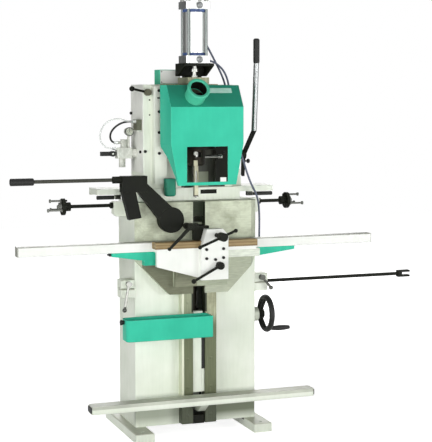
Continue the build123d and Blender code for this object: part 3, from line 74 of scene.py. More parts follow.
def linear(hex_colour):
    """Turns an sRGB hex value into linear red, green, blue and alpha."""
    srgb = np.array([int(hex_colour[i : i + 2], 16) for i in (0, 2, 4)]) / 255
    rgb = np.where(srgb <= 0.04045, srgb / 12.92, ((srgb + 0.055) / 1.055) ** 2.4)
    return (*rgb.tolist(), 1.0)


def add(tree, kind, sockets=(), **settings):
    """Adds one node; sockets maps an input's name or number to a value, or to the output it links from."""
    made = tree.nodes.new("ShaderNode" + kind)
    for key, value in settings.items():
        setattr(made, key, value)
    for key, value in dict(sockets).items():
        if isinstance(value, bpy.types.NodeSocket):
            tree.links.new(value, made.inputs[key])
        else:
            made.inputs[key].default_value = value
    return made


def blank(name):
    """An empty node material and its tree."""
    material = bpy.data.materials.new(name)
    material.use_nodes = True
    material.node_tree.nodes.clear()
    MADE[name] = material
    return material.node_tree


def ramp(tree, value, low=0.0, high=1.0, start=0.0, end=1.0):
    """Takes low to high onto start to end, and stops at both."""
    limits = {"From Min": low, "From Max": high, "To Min": start, "To Max": end}
    return add(tree, "MapRange", {"Value": value, **limits}).outputs["Result"]


def mixed(tree, share, under, over):
    """Covers one colour with a share of another."""
    return add(tree, "Mix", {0: share, 6: under, 7: over}, data_type="RGBA").outputs[2]


def reckon(tree, operation, first, second, **settings):
    """One step of arithmetic on two values."""
    return add(tree, "Math", {0: first, 1: second}, operation=operation, **settings).outputs[0]


def reckon_vectors(tree, operation, first, second=(0, 0, 0)):
    """One step of arithmetic on two vectors."""
    return add(tree, "VectorMath", {0: first, 1: second}, operation=operation).outputs[0]


def noise(tree, place, size, detail, **more):
    """Clouds of a size in metres."""
    sockets = {"Vector": place, "Scale": 1 / size, "Detail": detail, **more}
    return add(tree, "TexNoise", sockets).outputs["Fac"]


def stretched(tree, place, scale):
    """Coordinates scaled on each axis, which draws a pattern out along the axes with a low scale."""
    return add(tree, "Mapping", {"Vector": place, "Scale": scale}).outputs["Vector"]


def rounding(tree, radius):
    """Normals of edges rounded by a radius in metres."""
    return add(tree, "Bevel", {"Radius": radius}, samples=4).outputs["Normal"]


def relief(tree, height, normal, strength, depth, **settings):
    """A fine relief over normals, of a depth in metres."""
    sockets = {"Height": height, "Normal": normal, "Strength": strength, "Distance": depth}
    return add(tree, "Bump", sockets, **settings).outputs[0]


def shade(tree, colour, rough, **more):
    """Ends a material with its shader; more holds other sockets, with _ for a space in their names."""
    sockets = {key.replace("_", " "): value for key, value in more.items()}
    shader = add(tree, "BsdfPrincipled", {"Base Color": colour, "Roughness": rough, **sockets})
    add(tree, "OutputMaterial", {"Surface": shader.outputs[0]})


# Finishes

# Half the width of a zone's sharp edge in metres, and the share of its colour left where it is darkest
ZONE_EDGE = 0.0004
ZONE_DARK = 0.75


def zoned(tree, place, paint, zones, tone):
    """Lays a second colour over part of a finish. Each zone is two corners in metres, the colour inside them
    and, if its edge is soft, half the edge's width. The colour is darker where the finish's tone is low."""
    for low, high, colour, *soft in zones:
        edge = soft[0] if soft else ZONE_EDGE
        middle = (np.add(low, high) / 2).tolist()
        half = (np.subtract(high, low) / 2).tolist()
        reach = reckon_vectors(tree, "ABSOLUTE", reckon_vectors(tree, "SUBTRACT", place, middle))
        beyond = add(tree, "SeparateXYZ", {0: reckon_vectors(tree, "SUBTRACT", reach, half)}).outputs
        wide = reckon(tree, "MAXIMUM", beyond[0], beyond[1])
        far = reckon(tree, "MAXIMUM", wide, beyond[2])
        light = linear(colour)
        dark = (*(ZONE_DARK * part for part in light[:3]), 1.0)
        paint = mixed(tree, ramp(tree, far, edge, -edge), paint, mixed(tree, tone, dark, light))
    return paint


def darken_low_with_grime_and_shade(tree, place, paint, low_grime_and_shade):
    """Darkens the 165 mm nearest the floor, most just below the pedal, with grime and painted shade under the
    pedal, with less of it on the left, on the feet and behind the front face."""
    spot = add(tree, "SeparateXYZ", {0: place}).outputs
    share = ramp(tree, spot["Z"], 0.165, 0.11, 0.0, 0.95)
    # Each row has an axis, where the share is least, where it is full, and the least share
    fades = (("X", -0.1, 0.12, 0.68), ("Z", 0.041, 0.085, 0.2), ("Y", -0.1, -0.13, 0.3))
    for axis, low, high, least in fades:
        share = reckon(tree, "MULTIPLY", share, ramp(tree, spot[axis], low, high, least))
    return mixed(tree, share, paint, linear(low_grime_and_shade))


def enamel(name, colour, deep, rubbed_and_highlit, rough, corner_grime_and_shade, corner_grime_and_shade_share, top_dust_and_shade, top_dust_and_shade_share, gloss, low_grime_and_shade=None, zones=()):
    """Enamel sprayed on filled and rubbed-down metal. The eye gets a faint orange peel, clouds in the coat,
    thin and lighter paint along the edges that is also a painted highlight, handling grime in runs that
    gathers in the corners, where it is also painted shade, and a layer of oil and fine dust on the faces
    that look up, which is also painted shade on those tops where it is darker than the paint. The colour of
    the grime and painted shade by the floor, under the pedal, is given if there is any."""
    tree = blank(name)
    place = add(tree, "TexCoord").outputs["Object"]
    # Clouds in the coat are about 160 mm across
    cloud = noise(tree, place, 0.16, 4.0)
    coat = ramp(tree, cloud, 0.35, 0.65)
    paint = zoned(tree, place, mixed(tree, coat, linear(deep), colour), zones, coat)
    # Runs of grime are 12 mm wide and ten times as long
    run = noise(tree, stretched(tree, place, (1, 1, 0.1)), 0.012, 3.0)
    # Ambient occlusion gathers the grime into the corners, where it is also painted shade
    corner = add(tree, "AmbientOcclusion", {"Distance": 0.03}, samples=4, only_local=False).outputs["AO"]
    shelter = ramp(tree, corner, 0.25, 0.95, 1.0, 0.12)
    corner_grime_and_shade_mask = reckon(tree, "MULTIPLY", shelter, ramp(tree, run, 0.38, 0.72, 0.0, corner_grime_and_shade_share))
    paint_with_grime_and_corner_shade = mixed(tree, corner_grime_and_shade_mask, paint, linear(corner_grime_and_shade))
    # A layer of oil and dust on the faces that look up, which is also painted shade on those tops where it is
    # darker than the paint
    flat = add(tree, "NewGeometry").outputs["Normal"]
    lying = ramp(tree, add(tree, "SeparateXYZ", {0: flat}).outputs["Z"], 0.3, 0.6)
    thin_top_dust_and_shade = 0.75 * top_dust_and_shade_share
    patch = ramp(tree, cloud, 0.3, 0.6, thin_top_dust_and_shade, top_dust_and_shade_share)
    grimed_and_shaded = mixed(tree, reckon(tree, "MULTIPLY", lying, patch), paint_with_grime_and_corner_shade, linear(top_dust_and_shade))
    # Grime and painted shade by the floor, under the pedal
    if low_grime_and_shade:
        grimed_and_shaded = darken_low_with_grime_and_shade(tree, place, grimed_and_shaded, low_grime_and_shade)
    # Edges are shaded with a radius of 2.5 mm, which catches the light
    rounded = rounding(tree, 0.0025)
    along = add(tree, "VectorMath", {0: rounded, 1: flat}, operation="DOT_PRODUCT").outputs["Value"]
    # The lighter paint rubbed thin along the edges is also a painted highlight there
    rubbed = ramp(tree, noise(tree, place, 0.02, 5.0), 0.35, 0.6, 0.0, 0.8)
    rub_and_highlight_mask = reckon(tree, "MULTIPLY", ramp(tree, along, 0.99, 0.85), rubbed)
    shown = mixed(tree, rub_and_highlight_mask, grimed_and_shaded, linear(rubbed_and_highlit))
    sheen = ramp(tree, run, start=rough - 0.06, end=rough + 0.16)
    # Orange peel is about 1.5 mm across and is drawn at 5 mm so that it shows
    peel = relief(tree, noise(tree, place, 0.005, 2.0), rounded, 0.06, 0.001)
    shade(tree, shown, sheen, Normal=peel, Specular_IOR_Level=gloss)


def machined(name, colour, deep, rough, lay, line, stain, stain_share, metallic, gloss=0.5, zones=()):
    """Metal cut, ground or drawn to size. The eye gets fine lines along the cut, darker stain clouds from oil
    and hands, and bright edges. lay stretches the lines on each axis, and line is their spacing."""
    tree = blank(name)
    place = add(tree, "TexCoord").outputs["Object"]
    cut = noise(tree, stretched(tree, place, lay), line, 3.0)
    tone = ramp(tree, cut, 0.3, 0.7)
    metal = mixed(tree, tone, linear(deep), linear(colour))
    # Oil stains spread over about 70 mm
    cloud = noise(tree, place, 0.07, 6.0, Roughness=0.6)
    stained = mixed(tree, ramp(tree, cloud, 0.42, 0.72, 0.0, stain_share), metal, linear(stain))
    shown = zoned(tree, place, stained, zones, tone)
    sheen = ramp(tree, cut, start=rough - 0.08, end=rough + 0.12)
    lines = relief(tree, cut, rounding(tree, 0.0012), 0.08, 0.0006)
    shade(tree, shown, sheen, Normal=lines, Metallic=metallic, Specular_IOR_Level=gloss)


def moulded(name, colour, deep, rough, grain):
    """Moulded plastic or rubber, blacked screws and printed sheets. The eye gets a fine grain, and clouds of
    tone with a duller or brighter sheen. grain is the spacing of the texture."""
    tree = blank(name)
    place = add(tree, "TexCoord").outputs["Object"]
    pits = add(tree, "TexVoronoi", {"Vector": place, "Scale": 1 / grain}).outputs["Distance"]
    cloud = noise(tree, place, 0.03, 3.0)
    shown = mixed(tree, ramp(tree, cloud, 0.35, 0.65), linear(deep), linear(colour))
    sheen = ramp(tree, cloud, start=rough - 0.1, end=rough + 0.15)
    grained = relief(tree, pits, rounding(tree, 0.0015), 0.12, 0.0005)
    shade(tree, shown, sheen, Normal=grained, Specular_IOR_Level=0.3)


def timber(name, colour, deep, pore):
    """Planed hardwood, oiled by use. The eye gets growth rings drawn out along the board, dark pores and a
    satin sheen that is duller in the open grain."""
    tree = blank(name)
    place = add(tree, "TexCoord").outputs["Object"]
    # The board runs along X, so the rings are 14 mm wide across it and stretched twelve times along it
    drawn = stretched(tree, place, (0.08, 1, 1))
    wave = {"Vector": drawn, "Scale": 1 / 0.045, "Distortion": 6.0, "Detail": 3.0, "Detail Scale": 1.4}
    ring = add(tree, "TexWave", wave, bands_direction="Z").outputs["Fac"]
    plank = mixed(tree, ring, linear(deep), linear(colour))
    # Pores are under 0.3 mm and are drawn at 2 mm so that they show
    open_grain = noise(tree, stretched(tree, place, (0.04, 1, 1)), 0.002, 2.0)
    shown = mixed(tree, ramp(tree, open_grain, 0.56, 0.72, 0.0, 0.7), plank, linear(pore))
    sheen = ramp(tree, open_grain, start=0.38, end=0.68)
    pores = relief(tree, open_grain, rounding(tree, 0.002), 0.2, 0.0005, invert=True)
    shade(tree, shown, sheen, Normal=pores)


def see_through(name, colour, rough, share):
    """Clear tube or polycarbonate: light passes, and the skin shows a soft gloss and a faint haze."""
    tree = blank(name)
    haze = noise(tree, add(tree, "TexCoord").outputs["Object"], 0.02, 2.0)
    sheen = ramp(tree, haze, start=rough, end=rough + 0.2)
    shade(tree, linear(colour), sheen, IOR=1.45, Transmission_Weight=share)


# Surfaces


def skin(name, rings, finish, slot, body, crease=CREASE, wrap=True):
    """Skins rings of points with quads: point (i, j) joins (i, j+1), (i+1, j+1) and (i+1, j). The array is
    copies by rings by points by 3, in millimetres. A ring of no radius closes to a pole, and wrap joins each
    ring's ends."""
    rings = np.asarray(rings, float) * MM
    rings = rings[None] if rings.ndim == 3 else rings
    copies, stations, sides, _ = rings.shape
    index = np.arange(copies * stations * sides).reshape(copies, stations, sides)
    here = index if wrap else index[:, :, :-1]
    beside = np.roll(index, -1, axis=2) if wrap else index[:, :, 1:]
    quads = np.stack([here[:, :-1], beside[:, :-1], beside[:, 1:], here[:, 1:]], axis=-1).reshape(-1, 4)
    mesh = bpy.data.meshes.new(name)
    mesh.from_pydata(rings.reshape(-1, 3).tolist(), [], quads.tolist())
    return dress(name, mesh, finish, body, crease)


def dress(name, mesh, finish, body, crease):
    """Closes a mesh's seams and poles, turns its faces outwards and hangs it on its body with its finish."""
    work = bmesh.new()
    work.from_mesh(mesh)
    bmesh.ops.remove_doubles(work, verts=work.verts, dist=2e-6)
    bmesh.ops.dissolve_degenerate(work, dist=1e-6, edges=work.edges)
    bmesh.ops.recalc_face_normals(work, faces=work.faces)
    work.to_mesh(mesh)
    work.free()
    mesh.shade_smooth()
    mesh.set_sharp_from_angle(angle=math.radians(crease))
    mesh.materials.append(MADE[finish])
    piece = bpy.data.objects.new(name, mesh)
    bpy.context.scene.collection.objects.link(piece)
    if body:
        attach(piece, body)
    return piece


def turned(profile, places, axis, sides=36):
    """Sweeps stations of radius and height round an axis at each place. A third value marks a hexagon: its
    radius is divided by the cosine of the angle from the middle of its flat."""
    station = np.array([(*row, 0)[:3] for row in profile], float)
    angle = np.arange(sides) * 2 * np.pi / sides
    flat = np.cos(angle % (np.pi / 3) - np.pi / 6)
    radius = station[:, :1] / np.where(station[:, 2:] > 0, flat, 1.0)
    up = np.asarray(axis, float) / np.linalg.norm(axis)
    aside = np.cross(up, BACK if abs(up[1]) < 0.9 else RIGHT)
    aside /= np.linalg.norm(aside)
    across = np.cross(up, aside)
    ring = ((radius * np.cos(angle))[..., None] * aside + (radius * np.sin(angle))[..., None] * across
            + station[:, 1, None, None] * up)
    return np.asarray(places, float).reshape(-1, 1, 1, 3) + ring[None]


def slab(corners, way, thick, rim):
    """A thin plate on four corners: its rings go from the middle of the seat out to the corners, along way by
    the thickness less the rim, then in by the rim at full thickness, and back to the middle."""
    corner, way = np.asarray(corners, float), np.asarray(way, float)
    middle = corner.mean(0) + np.zeros((4, 1))
    out = corner - middle
    inset = corner - out * rim / np.linalg.norm(out, axis=1, keepdims=True)
    return np.stack([middle, corner, corner + way * (thick - rim), inset + way * thick, middle + way * thick])


def prism(outline, low, high):
    """A flat bar on an outline that faces the front: its rings are the middle and the outline at the Y low,
    then the outline and the middle at the Y high."""
    outline = np.asarray(outline, float)
    middle = np.broadcast_to(outline.mean(-2, keepdims=True), outline.shape)
    level = np.array([low, low, high, high])[:, None, None] * np.array(BACK)
    return np.stack([middle, outline, outline, middle], -3) + level


def lathe(rows):
    """Makes turned pieces from rows of name, profile, places, axis, look and, where it isn't 36, the number
    of sides. A look is the finish, the slot, which is not used, and the body."""
    for name, profile, places, axis, look, *sides in rows:
        skin(name, turned(profile, places, axis, *sides), *look.split())


def plates(rows):
    """Makes upright plates from rows of name, X and Z from low to high, Y of the seat, thickness, rim and
    look."""
    for name, (low_x, high_x), (low_z, high_z), y, thick, rim, look in rows:
        corners = [(low_x, y, low_z), (high_x, y, low_z), (high_x, y, high_z), (low_x, y, high_z)]
        skin(name, slab(corners, FRONT, thick, rim), *look.split())


def hose_line(route):
    """Reads a smooth line off a NURBS spline whose control points are the route's points, in millimetres."""
    curve = bpy.data.curves.new("hose_line", "CURVE")
    curve.dimensions = "3D"
    curve.resolution_u = 14
    spline = curve.splines.new("NURBS")
    spline.points.add(len(route) - 1)
    spline.points.foreach_set("co", np.column_stack([route, np.ones(len(route))]).ravel())
    spline.order_u = 3
    spline.use_endpoint_u = True
    holder = bpy.data.objects.new("hose_line", curve)
    line = bpy.data.meshes.new_from_object(holder)
    path = np.zeros(len(line.vertices) * 3)
    line.vertices.foreach_get("co", path)
    bpy.data.objects.remove(holder)
    bpy.data.curves.remove(curve)
    bpy.data.meshes.remove(line)
    return path.reshape(-1, 3)


def tube(path, radius, aside, sides=20):
    """Carries a circle along a path: each ring is the point plus radius times (cos, sin) on the two
    directions square to the path, the first of them also square to aside. The ends shrink to points, which
    closes them."""
    heading = np.gradient(path, axis=0)
    heading /= np.linalg.norm(heading, axis=1, keepdims=True)
    first = np.cross(heading, aside)
    first /= np.linalg.norm(first, axis=1, keepdims=True)
    second = np.cross(heading, first)
    angle = np.arange(sides) * 2 * np.pi / sides
    ring = first[:, None] * np.cos(angle)[:, None] + second[:, None] * np.sin(angle)[:, None]
    wall = path[:, None] + radius * ring
    return np.concatenate([np.repeat(path[:1, None], sides, 1), wall, np.repeat(path[-1:, None], sides, 1)])


# Sizes and colours


class MortiserSizes(bpy.types.PropertyGroup):
    """Sizes of the pieces that dress the machine"""

    hose: bpy.props.FloatProperty(name="Air hose", description="Diameter of the air hoses", default=0.009,
                                  min=0.004, max=0.02, unit="LENGTH")
    clear_hose: bpy.props.FloatProperty(name="Clear tube", description="Diameter of the clear tube",
                                        default=0.006, min=0.003, max=0.012, unit="LENGTH")
    cap_screw: bpy.props.FloatProperty(name="Cap screw", description="Diameter of the socket screws' heads",
                                       default=0.013, min=0.006, max=0.02, unit="LENGTH")


class MortiserColours(bpy.types.PropertyGroup):
    """Colours of the machine's main finishes"""

    cream: bpy.props.FloatVectorProperty(name="Cream enamel", description="Paint of the stand and the head",
                                         subtype="COLOR", size=4, min=0, max=1, default=linear("EEF3E6"))
    green: bpy.props.FloatVectorProperty(name="Green enamel", description="Paint of the hood and the tray",
                                         subtype="COLOR", size=4, min=0, max=1, default=linear("3DCBA9"))
    white: bpy.props.FloatVectorProperty(name="White enamel", description="Paint of the apron and the vise",
                                         subtype="COLOR", size=4, min=0, max=1, default=linear("F6F8F3"))


FINISH_NODES = {
    "cream_enamel": ("feet column_shell back_cover pedal_bar carriage_plate upright bed_way keep_plates "
                     "stop_brackets turret_brackets pedal_pivot"),
    "white_enamel": "apron vise_block work_rail",
    "green_enamel": "hood tool_tray rail_arms",
    "light_green_enamel": "dust_port terminal_box",
    "dark_green_enamel": "chip_cup",
    "planed_casting": "front_casting knee_body",
    "ground_ways": "slideways ram_slide",
    "black_enamel": ("traverse_lever cylinder_bracket vise_jaw handwheel stop_rod jaw_lever table_lock "
                     "vise_screw turret_left turret_right feed_lever head_clamp bearing_blocks motor_housing "
                     "pedal_link"),
    "moulded_grip": "feed_grip traverse_grip crank_handle valve_handle",
    "turned_steel": "spindle auger_bit piston_rod",
    "blued_steel": "clamp_lever_left clamp_lever_right",
    "oiled_steel": "chisel_holder elevating_screw",
    "ground_tool_steel": "chisel",
    "polished_chrome": "feed_tube",
    "drawn_aluminium": "cylinder_tube cylinder_caps",
    "cast_zinc": "air_unit",
    "planed_beech": "table_board",
}
# Zones, in metres

# The insides of the column, of the slot that the table's tongue runs in and of the hood are painted dark, as
# painted shade
SHADE_IN_COLUMN = ((-0.2845, -0.1225, 0.03), (0.2845, 0.1296, 1.053), "35372C")
SHADE_IN_SLOT = ((-0.0295, -0.1736, 0.0), (0.0295, -0.12, 1.07), "333B2B")
SHADE_IN_HOOD = ((-0.1565, -0.3502, 1.1), (0.1065, -0.1, 1.499), "2A2D25")
# The frames of the ram's window are dark with oil and painted shade: the keep plates' inner edges and
# the upright between them, with a paler patch lower down
CREAM_ZONES = (((-0.06, -0.105, 1.131), (0.152, -0.09, 1.34), "2A2D24"),
               ((0.017, -0.105, 1.131), (0.071, -0.09, 1.201), "7E8571"),
               ((0.0895, -0.1455, 1.149), (0.0935, -0.1, 1.36), "23241C"),
               # The upright's left side is painted paler than its front, as painted light on that side
               ((-0.2415, -0.1005, 1.2), (-0.2385, 0.096, 1.598), "FCFEF6"),
               # The pedal's upper half is painted greyer than its lower half, as painted shade
               ((-0.534, -0.276, 0.175), (0.534, -0.2, 0.1905), "CED2C3"),
               # The stop bars' hangers are black
               ((-0.346, -0.0125, 1.077), (-0.300, 0.0125, 1.0975), "14170F"),
               ((0.296, -0.0125, 1.077), (0.346, 0.0125, 1.0975), "14170F"))
# The work rail's top edge and ends are painted greyer than its front, as painted shade
RAIL_SHADE = (((-0.8435, -0.2285, 0.8972), (0.8435, -0.1775, 0.9015), "A0A297"),
              ((-0.8435, -0.2285, 0.857), (-0.8385, -0.1775, 0.9015), "B0B2A8"),
              ((0.838, -0.2285, 0.857), (0.8435, -0.1775, 0.9015), "D4D6CE"))
# The ram's foot is dark with oil and painted shade
RAM_FOOT = ((-0.06, -0.1275, 1.255), (0.109, -0.087, 1.36), "2C2D24")
# The ways are painted darker below the tray, more so under the pedal, and darkest in the slot and at its
# upper edges, as painted shade under the tray and the pedal and in the slot
WAY_ZONES = (((-0.2, -0.3, -0.2), (0.2, 0.0, 0.53), "666C52", 0.03),
             ((-0.2, -0.3, -0.2), (0.2, 0.0, 0.15), "4C5142", 0.015),
             ((-0.0845, -0.175, 0.52), (-0.029, -0.12, 0.66), "8E947A"),
             ((-0.0295, -0.1735, 0.455), (0.0295, -0.12, 0.66), "3A3D30"),
             ((-0.0295, -0.1735, 0.04), (0.0295, -0.12, 0.15), "3A3D30"),
             ((-0.037, -0.1745, 0.566), (0.037, -0.12, 0.66), "2E3226"),
             # The left way's outer edge is pale
             ((-0.0845, -0.175, 0.15), (-0.0735, -0.12, 0.66), "D9DCC6"))
# The cylinder's tie rods are plain steel, greyer than the drawn tube
TIE_RODS = tuple(((x - 0.0065, y - 0.0065, 1.7242), (x + 0.0065, y + 0.0065, 1.9278), "7A807E")
                 for x in (-0.067, 0.017) for y in (-0.225, -0.141))
# Below the table the casting and the knee are painted darker, most on the left, as painted shade, and the
# shelf's front edge is pale
CASTING_ZONES = (((-0.3, -0.1745, 0.62), (-0.02, -0.16, 0.83), "787B66"),
                 ((0.02, -0.1745, 0.62), (0.3, -0.16, 0.83), "B7BDA8"),
                 ((-0.1255, -0.262, 0.689), (-0.02, -0.19, 0.8213), "888B75"),
                 ((-0.02, -0.262, 0.689), (0.265, -0.19, 0.8213), "C9D0BB"),
                 ((-0.02, -0.262, 0.689), (0.265, -0.19, 0.722), "A9B09A"),
                 ((-0.23, -0.266, 0.8215), (0.27, -0.175, 0.8595), "E4EADC"))
# The handwheel's bearing flange is cream, the head clamp's hub bare iron and the traverse rod grey
BLACK_ZONES = (((0.2915, -0.13, 0.49), (0.3165, -0.06, 0.56), "DCE2D2"),
               ((-0.238, -0.126, 1.545), (-0.204, -0.099, 1.579), "6B6A58"),
               ((-0.77, -0.23, 1.17), (-0.42, -0.18, 1.19), "4A4B44"),
               # The turrets' adjusting screws are bare
               ((-0.665, -0.039, 1.01), (-0.5965, 0.039, 1.09), "8A8C86"),
               ((0.5125, -0.039, 1.01), (0.582, 0.039, 1.09), "8A8C86"))
# The chisel's sides and tip are dark
CHISEL_ZONES = (((-0.0412, -0.2265, 1.09), (-0.0388, -0.2035, 1.236), "37342A"),
                ((-0.0212, -0.2265, 1.09), (-0.0188, -0.2035, 1.236), "37342A"),
                ((-0.0415, -0.2265, 1.09), (-0.0185, -0.2035, 1.104), "37342A"))
# The left clamp lever's arm is bright, and the air unit's solenoid block is dark
CLAMP_ARM = ((-0.36, -0.17, 0.606), (-0.31, -0.13, 0.72), "B4B5AF")
SOLENOID_BLOCK = ((-0.2665, -0.131, 1.392), (-0.2385, 0.05, 1.441), "6A6C5A")


class MORTISER_OT_finishes(bpy.types.Operator):
    """Makes the finishes and puts one on each solid"""

    bl_idname = "mortiser.finishes"
    bl_label = "Finishes"

    def execute(self, context):
        colours = context.scene.mortiser_colours
        # The cream's last colour is grime and painted shade by the floor, under the pedal
        enamel("cream_enamel", colours.cream, "E4EBDB", "F8FAF4", 0.42, "8A8F78", 0.4, "B9B7A2", 0.5, 0.3,
               low_grime_and_shade="626A54", zones=(SHADE_IN_COLUMN, *CREAM_ZONES))
        enamel("white_enamel", colours.white, "EEF1EA", "FFFFFF", 0.36, "A3A18E", 0.3, "C2C2B6", 0.5, 0.3,
               zones=RAIL_SHADE)
        # The green's layer on the faces that look up is dark and nearly full, which is mostly painted shade
        # on the hood's roof
        enamel("green_enamel", colours.green, "35BE9D", "7CE3CB", 0.42, "12503D", 0.3, "17503E", 0.85, 0.15,
               zones=(SHADE_IN_HOOD,))
        # A lighter copy of the hood's green for the dust port and the terminal box, painted lighter as
        # painted light
        enamel("light_green_enamel", linear("5ACDA8"), "4CBD9A", "8FE6CE", 0.42, "12503D", 0.3,
               "2E7A62", 0.35, 0.15)
        enamel("dark_green_enamel", linear("2E8F73"), "1F6B54", "5AB39A", 0.4, "14301F", 0.5,
               "14402F", 0.6, 0.2)
        enamel("black_enamel", linear("14170F"), "0D0F0B", "4A4E42", 0.5, "55513F", 0.18, "33342C", 0.4, 0.12,
               zones=BLACK_ZONES)
        machined("planed_casting", "D3DAC4", "C2C9B1", 0.5, (0.15, 1, 1), 0.006, "77795F", 0.6, 0.1, 0.15,
                 zones=(SHADE_IN_SLOT, *CASTING_ZONES))
        machined("ground_ways", "A7A98F", "83856A", 0.42, (1, 1, 0.05), 0.006, "5E5F48", 0.6, 0.4, 0.3,
                 zones=(RAM_FOOT, *WAY_ZONES))
        machined("turned_steel", "B4B5B0", "8F918C", 0.32, (1, 1, 6), 0.01, "55564C", 0.35, 1.0)
        machined("oiled_steel", "2B271D", "1E1B13", 0.45, (1, 1, 6), 0.01, "12100B", 0.6, 0.5, 0.2)
        machined("blued_steel", "62645F", "41433F", 0.4, (1, 1, 1), 0.012, "2A2B27", 0.6, 0.7, 0.3,
                 zones=(CLAMP_ARM,))
        machined("ground_tool_steel", "D6D3B8", "B4B397", 0.45, (1, 1, 0.1), 0.004, "6F715A", 0.4, 0.2, 0.3,
                 zones=CHISEL_ZONES)
        machined("polished_chrome", "8C8E8E", "787A7A", 0.3, (1, 1, 0.2), 0.02, "8B8D8E", 0.2, 1.0)
        machined("drawn_aluminium", "E6E8E6", "D6D9D7", 0.3, (1, 1, 0.05), 0.008, "9A9D99", 0.25, 0.85,
                 zones=TIE_RODS)
        machined("cast_zinc", "E8EAE2", "CDD0C5", 0.5, (1, 1, 1), 0.01, "7B7D70", 0.5, 0.1, 0.3,
                 zones=(SOLENOID_BLOCK,))
        moulded("moulded_grip", "1B1C1A", "121312", 0.5, 0.004)
        moulded("hose_rubber", "646A7C", "4F5567", 0.42, 0.006)
        moulded("black_oxide", "151613", "0D0E0C", 0.4, 0.005)
        moulded("blue_seal", "4A5E8C", "35466F", 0.4, 0.006)
        moulded("dial_card", "F2F1E6", "E6E4D6", 0.6, 0.004)
        moulded("printed_foil", "BFE6D8", "A9D9C8", 0.35, 0.006)
        timber("planed_beech", "A08B5E", "846C43", "5A452A")
        see_through("clear_tube", "C4C8C4", 0.1, 0.6)
        see_through("gauge_glass", "EEF2EC", 0.08, 0.9)
        for finish, names in FINISH_NODES.items():
            for name in names.split():
                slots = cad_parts[name].data.materials
                if not slots:
                    slots.append(MADE[finish])
                for number in range(len(slots)):
                    slots[number] = MADE[finish]
        return {"FINISHED"}


# Hoses: each route is a list of points in millimetres

CYLINDER_TOP = [(-10, -126, 1945), (-10, -90, 1945), (0, -64, 1926), (20, -60, 1884), (40, -70, 1840),
                (60, -83, 1792), (84, -96, 1742), (108, -106, 1692), (132, -111, 1643), (149, -114, 1596),
                (156, -114, 1538), (162, -115, 1478), (167, -115, 1418), (167, -115, 1340)]
CYLINDER_FOOT = [(32, -183, 1706), (58, -183, 1702), (88, -174, 1688), (124, -154, 1663), (151, -134, 1626),
                 (166, -120, 1580), (172, -115, 1522), (176, -115, 1462), (181, -115, 1402),
                 (181, -115, 1340)]
SERVICE = [(-274, -42, 1431), (-302, -42, 1431), (-332, -30, 1420), (-354, -10, 1398), (-363, 8, 1374),
           (-360, 17, 1350), (-346, 20, 1334), (-326, 20, 1334)]
CLEAR = [(-274, -66, 1431), (-300, -66, 1431), (-345, -58, 1447), (-392, -40, 1432), (-416, -16, 1390),
         (-412, 6, 1345), (-386, 18, 1314), (-356, 20, 1307), (-332, 20, 1307)]
SUPPLY = [(189, -115, 1306), (212, -115, 1304), (226, -113, 1284), (238, -111, 1252), (249, -110, 1220),
          (259, -110, 1190), (271, -110, 1158), (284, -110, 1130), (301, -110, 1100), (315, -110, 1062),
          (320, -110, 1005), (321, -110, 950), (320, -110, 915), (320, -110, 884)]


class MORTISER_OT_hoses(bpy.types.Operator):
    """Lays the air hoses along their routes"""

    bl_idname = "mortiser.hoses"
    bl_label = "Air hoses"

    def execute(self, context):
        sizes = context.scene.mortiser_sizes
        rows = (
            ("hose_cylinder_top", CYLINDER_TOP, sizes.hose, "hose_rubber", RIGHT, "air_hoses"),
            ("hose_cylinder_foot", CYLINDER_FOOT, sizes.hose, "hose_rubber", BACK, "air_hoses"),
            ("hose_service", SERVICE, sizes.hose, "black_oxide", BACK, "air_hoses"),
            ("hose_clear", CLEAR, sizes.clear_hose, "clear_tube", BACK, "air_hoses"),
            ("hose_supply", SUPPLY, sizes.hose, "hose_rubber", BACK, None),
        )
        for name, route, wide, finish, aside, node in rows:
            path = hose_line(route)
            piece = skin(name, tube(path, wide / MM / 2, np.array(aside, float)), finish, "hose",
                         "carriage" if node else None, crease=ROUND_CREASE)
            if node:
                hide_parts(node)
            else:
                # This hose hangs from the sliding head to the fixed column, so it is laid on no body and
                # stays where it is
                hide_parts("drop_hose", "column_hose")
                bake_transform(piece)
        return {"FINISHED"}


# Turned parts: each station of a profile is a radius and a height in millimetres, with 6 for a hexagon

# A push-in fitting: hexagon, neck and the collar that the hose passes through
FITTING = [(0, 0), (7, 0, 6), (7, 6, 6), (6.2, 7), (5.6, 7), (5.6, 12), (6.6, 12.6), (6.6, 15.4), (6, 16),
           (4.4, 16), (4.4, 11), (0, 11)]
ELBOW = [(0, 0), (10, 0), (11, 1), (11, 8, 6), (11, 16, 6), (9, 17), (8, 26), (8, 36), (7, 38), (0, 38)]


class MORTISER_OT_fittings(bpy.types.Operator):
    """Puts a push-in fitting where each hose enters the machine"""

    bl_idname = "mortiser.fittings"
    bl_label = "Hose fittings"

    def execute(self, context):
        unit_ports = [(-264, -42, 1431), (-264, -66, 1431)]
        head, stand = "drawn_aluminium aluminium carriage", "drawn_aluminium aluminium frame"
        lathe((
            ("fittings_up", FITTING, [CYLINDER_TOP[-1], CYLINDER_FOOT[-1]], UP, head),
            ("fitting_cylinder_top", FITTING, [CYLINDER_TOP[0]], BACK, head),
            ("fittings_right", FITTING, [CYLINDER_FOOT[0], SUPPLY[0]], RIGHT, head),
            ("fittings_left", FITTING, [*unit_ports, CLEAR[-1], SERVICE[-1]], LEFT, head),
            ("elbow_body", ELBOW, [(292, -110, 874)], RIGHT, stand),
            ("elbow_fitting", FITTING, [(320, -110, 870)], UP, stand),
        ))
        return {"FINISHED"}


